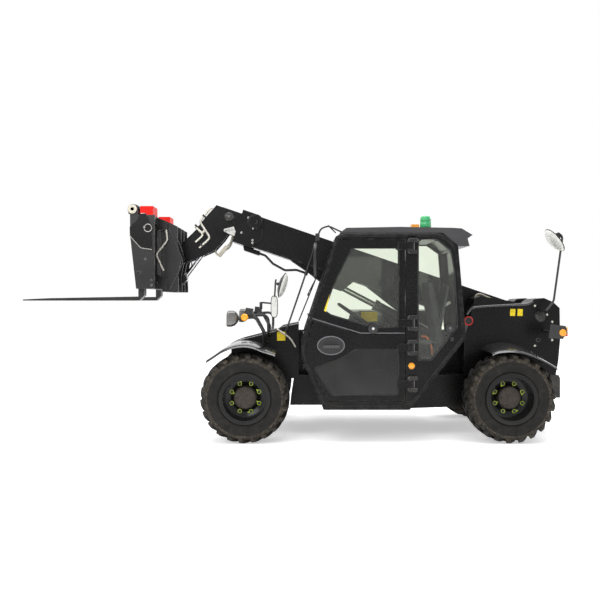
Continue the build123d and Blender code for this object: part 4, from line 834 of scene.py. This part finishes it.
def make_mirrors():
    rear = dome_mirror("rear_mirror", (2486, -600, 1876), (-0.79, -0.04, -0.61), 124, 48, 12,
        (tube, [(2401, -430, 1205), *flat(-600, (2401, 1205), (2477, 1297), (2558, 1885), (2556, 1915), (2522, 1946),
                                          (2506, 1930))], 10, 26),
        (block, (2484, -622, 1900), (2540, -578, 1930), 7, 38))
    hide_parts("mirrors")

    glass_line = [[(x + 26 * math.cos(t) * w, -885 + 92 * math.cos(t), 1668 + 165 * math.sin(t)) for t in turns(32)]
                  for x, w in ((226, 0.4), (214, 0.5), (204, 0.45))]
    piece("cab_mirror", "black_part",
        (tube, [(455, -860, 1930), (330, -885, 1985), (262, -885, 1960), (232, -885, 1890)], 8, 24, 10),
        (tube, [(330, -870, 1990), (400, -800, 1930)], 6, 0, 8),
        (block, (212, -905, 1850), (250, -868, 1915), 9), (loft, glass_line))
    piece("mirror_stay", "black_part",
        (tube, [(205, -870, 1815), (188, -860, 1740), (70, -760, 1390), (-62, -640, 1010), (-64, -400, 985)], 8.5, 60))

    def flat_mirror(width, height):
        return oval((-168, 1248), (width, height), 36, 0.5, (0.7, 0.45))

    dome_mirror("nose_mirror", (-90, -780, 1446), (0.95, -0.1, -0.28), 114, 40, 34,
        (tube, [(-296, -640, 1165), (-296, -640, 1287), (-200, -700, 1279)], 8, 14, 10),
        (tube, [(-166, -706, 1330), (-160, -740, 1400), (-156, -770, 1470), (-150, -780, 1500)], 8, 20, 10),
        (tube, [(-156, -772, 1462), (-128, -780, 1462)], 10, 0, 10),
        (knob, [(14, 0), (14, 66)], (-296, -640, 1225), UP, 16), (slab, flat_mirror(33, 103), (-716, -696), 0))
    # Flat mirror face in white as a painted reflection.
    piece("nose_flat_mirror", "painted_reflection_white", (slab, flat_mirror(27, 96), (-719, -715.5), 0))


BEACON_AT = (1279, -500)
BEACON_DOME = [(2006, 50), (2012, 52), (2052, 51), (2060, 49), (2064, 51), (2096, 49), (2110, 42), (2117, 26),
               (2118, 2)]     # height and radius
FLUTE = 1.6


def make_beacon():
    foot = piece("beacon_foot", "black_part",
        (knob, [(58, 0), (58, 8), (52, 12), (52, 30)], (*BEACON_AT, 1976), UP, 36))
    x, y = BEACON_AT
    rings = [[(x + (r + FLUTE * (i % 2)) * math.cos(t), y + (r + FLUTE * (i % 2)) * math.sin(t), z)
              for i, t in enumerate(turns(56))] for z, r in BEACON_DOME]
    piece("beacon_dome", "beacon_lens", (loft, rings))
    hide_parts("beacon")
    piece("roof_marker", "amber_lens", (block, (1136, -540, 1979), (1212, -470, 2034), 14))


GUARDS = {      # inner edge, then the crown line: x and z, with how far the outer edge hangs below the crown
    "front": (400, [(-782, 764, 4), (-727, 800, 6), (-637, 868, 10), (-509, 918, 16), (-382, 922, 20), (-273, 880, 22),
                    (-155, 826, 6)]),
    "rear": (436, [(1822, 836, 10), (1861, 872, 26), (1989, 905, 46), (2080, 900, 50), (2161, 878, 52), (2297, 808, 40),
                   (2411, 712, 14)]),
}


def drop_at(line, x):
    for (x0, _, d0), (x1, _, d1) in zip(line, line[1:]):
        if x0 <= x <= x1:
            return d0 + (d1 - d0) * (x - x0) / (x1 - x0)
    return line[-1][2]


def make_guards():
    """Moulded guards: crowned across, with a rolled outer edge."""
    for end, (inner, line) in GUARDS.items():
        for side, hand in HANDS:
            rings = []
            for point in rounded([(x, 0, z) for x, z, _ in line], 60, 4):
                drop = drop_at(line, point.x)
                section = [(inner, 0), (560, 0), (700, -drop * 0.25), (800, -drop * 0.55), (872, -drop),
                           (900, -drop - 10), (909, -drop - 22), (904, -drop - 24), (892, -drop - 13),
                           (866, -drop - 7), (790, -drop * 0.55 - 7), (560, -7), (inner, -7)]
                rings.append([(point.x, hand * y, point.z + dz) for y, dz in section])
            piece(f"mudguard_{end}_{side}", "guard_plastic", (loft, rings), angle=50)
    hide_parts("mudguards")


REAR_PIPES = (-290, -262, -234)


def make_pipes():
    """Steel pipes on the neck's sides, and the hoses under and behind the boom."""
    for side, hand in SIDES:
        pipes = piece(f"neck_pipes_{side}", "bright_pipe",
            (tube, flat(hand * 90, (-816, 2248), (-844, 2240), (-948, 2108), (-840, 1941), (-950, 1839)), 11, 34),
            (tube, flat(hand * 90, (-992, 2053), (-906, 1972), (-990, 1897)), 11, 34),
            (knob, [(13, -14), (13, 14)], (-906, hand * 90, 2005), (-0.6, 0, -0.8), 6), body="extension")
        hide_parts("gooseneck_pipes")
        low, high = sorted((hand * 76, hand * 101))
        piece(f"pipe_clips_{side}", "black_part",
            *[(block, (x - 14, low, z - 10), (x + 14, high, z + 10), 3, 50)
              for x, z in ((-905, 2165), (-984, 2065), (-930, 1870))], slot="worn_steel", body="extension")
    piece("valve_hoses", "cream_hose", (tube, [(-755, -30, 1762), (-790, -30, 1790), (-800, -20, 1850)], 10, 24, 10),
        (tube, flat(-20, (-671, 1861), (-640, 1892), (-612, 1985)), 10, 24, 10),
        (tube, flat(10, (-700, 1820), (-650, 1850), (-596, 1985)), 9, 24, 10), body="extension")
    piece("boom_underside_hoses", "cream_hose",
        (tube, flat(30, (-300, 1870), (-282, 1824), (-160, 1792), (-31, 1767), (40, 1735)), 10, 30, 10),
        (tube, flat(52, (-290, 1874), (-262, 1834), (-150, 1800), (-20, 1772), (50, 1738)), 8, 30, 10), body="boom")
    piece("rear_pipes", "cream_hose",
        *[(tube, flat(y, (1800 + 8 * k, 1235), (1806 + 8 * k, 1352 - 8 * k), (1842, 1374 - 9 * k),
                      (1930, 1336 - 7 * k), (2040, 1290 - 5 * k), (2110, 1262)), 9, 30, 10)
          for k, y in enumerate(REAR_PIPES)], slot="zinc_pipe")
    piece("rear_pipe_unions", "bare_steel",
        *[(knob, [(14, -16), (14, 16)], (x, y, z), (0.92, 0, -0.39), 6)
          for k, y in enumerate(REAR_PIPES) for x, z in ((1880, 1356 - 8 * k), (1990, 1311 - 6 * k))])
    piece("rear_valve_block", "cream_ring", (block, (1850, -300, 1262), (1950, -224, 1322), 6, 22))


# ---- towers, lamps and the engine side
TOWER_BOLTS = [(2351, 1254), (2468, 1168), (2519, 1098), (2351, 866), (2517, 922)]
LAMP_POT = [(-604, 52, 60), (-606, 60, 69), (-600, 65, 75), (-560, 66, 76), (-532, 56, 66), (-512, 36, 44),
            (-500, 20, 24)]     # x, half width and half height
LAMP_GLASS = [(-606, 50, 58), (-611, 42, 50), (-614, 20, 26)]
LAMP_Z = 1136
LAMP_LEAN = 0.08


def make_towers():
    for side, hand in SIDES:
        piece(f"pivot_cap_{side}", "worn_steel",
            (knob, [(40, 0), (40, 6), (34, 9), (12, 9), (10, 5)], (2400, hand * 449, 1150), (0, hand, 0), 36))
        bolts(f"tower_bolts_{side}", "bright_pipe", flat(hand * 435, *TOWER_BOLTS), (0, hand, 0), 7.5)
    piece("hole_ring", "worn_steel", (lathe, washer(13, 22, 3), (2381, -435, 922), NEAR, 24))
    piece("filler_neck", "deep_black_and_painted_shade", (knob, [(35, -2), (35, 6)], (1706, -435, 1107), NEAR))
    piece("filler_ring", "red_ring",
        (lathe, [(33, 0), (46, 0), (46, 8), (42, 14), (35, 12), (33, 8), (33, 0)], (1706, -436, 1107), NEAR, 40))
    for name, x in (("tower_plate_1", 2110), ("tower_plate_2", 2182)):
        label(name, "yellow_label", (x, -436.2, 1155), (x + 50, -435, 1223), 3)
    piece("tower_edge_roll", "guard_plastic",
        (tube, flat(-432, (1688, 1170), (1737, 1234), (1849, 1246), (2281, 1268), (2333, 1297)), 15, 40),
        slot="black_paint")
    piece("nose_hose", "bright_pipe", (tube, flat(-404, (-172, 1040), (-23, 940), (29, 851)), 9, 60, 10))
    label("nose_plate", "yellow_label", (-151, -401.2, 914), (-71, -400, 1000))


def make_lamps(side, hand):
    def rings(stations, lean):
        return [[(x + lean * z, hand * 720 + y, LAMP_Z + z) for y, z in oval((0, 0), (w, h), 40, 0.5, (0.55, 0.55))]
                for x, w, h in stations]

    def line(*points):
        return [(x, hand * y, z) for x, y, z in points]

    shell = piece(f"headlamp_{side}", "lamp_shell", (loft, rings(LAMP_POT, LAMP_LEAN)))
    if side == "left":
        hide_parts("headlamps")
    piece(f"headlamp_glass_{side}", "clear_lens", (loft, rings(LAMP_GLASS, 0)))
    out = (0, hand, 0)
    piece(f"lamp_bracket_{side}", "black_part",
        (tube, line((-510, 720, 1138), (-442, 720, 1147), (-342, 720, 1155), (-262, 715, 1012), (-262, 640, 915),
                    (-250, 420, 900)), 17.5, 34, 14),
        (tube, line((-400, 690, 1165), (-262, 680, 1171), (-226, 660, 1135), (-227, 620, 1000), (-220, 420, 960)),
         14, 34, 14), (knob, [(30, -14), (34, -6), (34, 12), (24, 16)], (-442, hand * 740, 1149), out, 24),
        (block, (-436, hand * 720 - 34, 1168), (-366, hand * 720 + 34, 1234), 14, 8), slot="worn_steel")
    piece(f"front_indicator_{side}", "amber_lens",
        (lathe, [(0, 0), (34, 0), (34, 8), (26, 15), (0, 18)], (-442, hand * 755, 1149), out))
    piece(f"side_marker_{side}", "amber_lens",
        (lathe, [(0, 0), (32, 0), (32, 7), (24, 13), (0, 15)], (2495, hand * 800, 1008), out, 30))
    for lens, low, high in (("red_lens", 975, 1016), ("amber_lens", 1020, 1060)):
        piece(f"tail_{lens}_{side}", lens, (block, (2522, hand * 785 - 13, low), (2540, hand * 785 + 13, high), 3))


def make_fittings():
    """Latches of the engine cover, tank cap and tow pin."""
    piece("bonnet_latches", "black_part", *[shape for x in (780, 1340) for shape in (
        (block, (x, 889, 905), (x + 70, 900, 945), 4), (block, (x + 12, 898, 915), (x + 58, 908, 932), 3))],
        body="bonnet")
    piece("tank_cap", "black_part", (knob, [(44, 0), (44, 8), (40, 26), (30, 30)], (480, 760, 940), UP))
    piece("tow_pin", "bare_steel", (knob, [(15.5, -2), (15.5, 225)], (2556, 0, 362), UP, 24),
        (tube, [(2556, 0, 580), (2556, 0, 625), (2556, 50, 625), (2556, 50, 590)], 7, 16, 10))


# ---- stage
FLOOR_SIZE = 60.0
FLOOR_COLOUR = (0.93, 0.93, 0.93, 1)
FLOOR_GLOW = 0.45
SKY_LOW = 0.26        # strength of the sky at the horizon and overhead, as a light
SKY_HIGH = 1.05
SKY_TOP = 0.75        # rise of a direction from which the sky is at its strongest


def make_stage():
    """White floor that keeps the machine's shadow, under a white sky that lights it softly."""
    bm = bmesh.new()
    bmesh.ops.create_grid(bm, x_segments=1, y_segments=1, size=FLOOR_SIZE / 2)
    mesh = bpy.data.meshes.new("floor")
    bm.to_mesh(mesh)
    bm.free()
    floor = link(bpy.data.objects.new("floor", mesh))
    s = Shader("floor")
    s.set(Base_Color=FLOOR_COLOUR, Roughness=1.0, Specular_IOR_Level=0.0)
    dark, glow = [s.add("Emission", {"Strength": level}).outputs[0] for level in (0.0, FLOOR_GLOW)]
    lit = s.add("AddShader", {0: s.bsdf.outputs[0], 1: s.layered(s.seen(), dark, glow)})
    mesh.materials.append(s.surface(lit.outputs[0]))

    world = bpy.data.worlds.new("world")
    bpy.context.scene.world = world
    world.use_nodes = True
    sky = Nodes(world.node_tree)
    rise = sky.up(sky.add("TexCoord").outputs["Generated"])
    light = sky.add("Background", {"Color": WHITE, "Strength": sky.ramp(rise, 0.0, SKY_TOP, SKY_LOW, SKY_HIGH)})
    white = sky.add("Background", {"Color": WHITE, "Strength": 1.0})
    sky.join(sky.layered(sky.seen(), light.outputs[0], white.outputs[0]),
             sky.tree.nodes["World Output"].inputs["Surface"])

    area_light("overhead", (0.3, -1.2, 6.0), (0, 0, 1.0), (7.0, 4.0), 330)
    area_light("front_fill", (-3.5, -6.5, 4.2), (0, 0, 1.0), (3.5, 2.5), 130)
    area_light("rear_fill", (5.0, 4.5, 4.5), (0.3, 0, 1.0), (3.0, 2.5), 110)


make_camera()
make_stage()
finish_cad_nodes()
make_wheels()
make_seat()
make_cab()
make_boom()
make_hitch()
make_towers()
for side, hand in HANDS:
    make_lamps(side, hand)
make_mirrors()
make_beacon()
make_guards()
make_pipes()
make_fittings()

bpy.context.scene.view_settings.view_transform = "Standard"
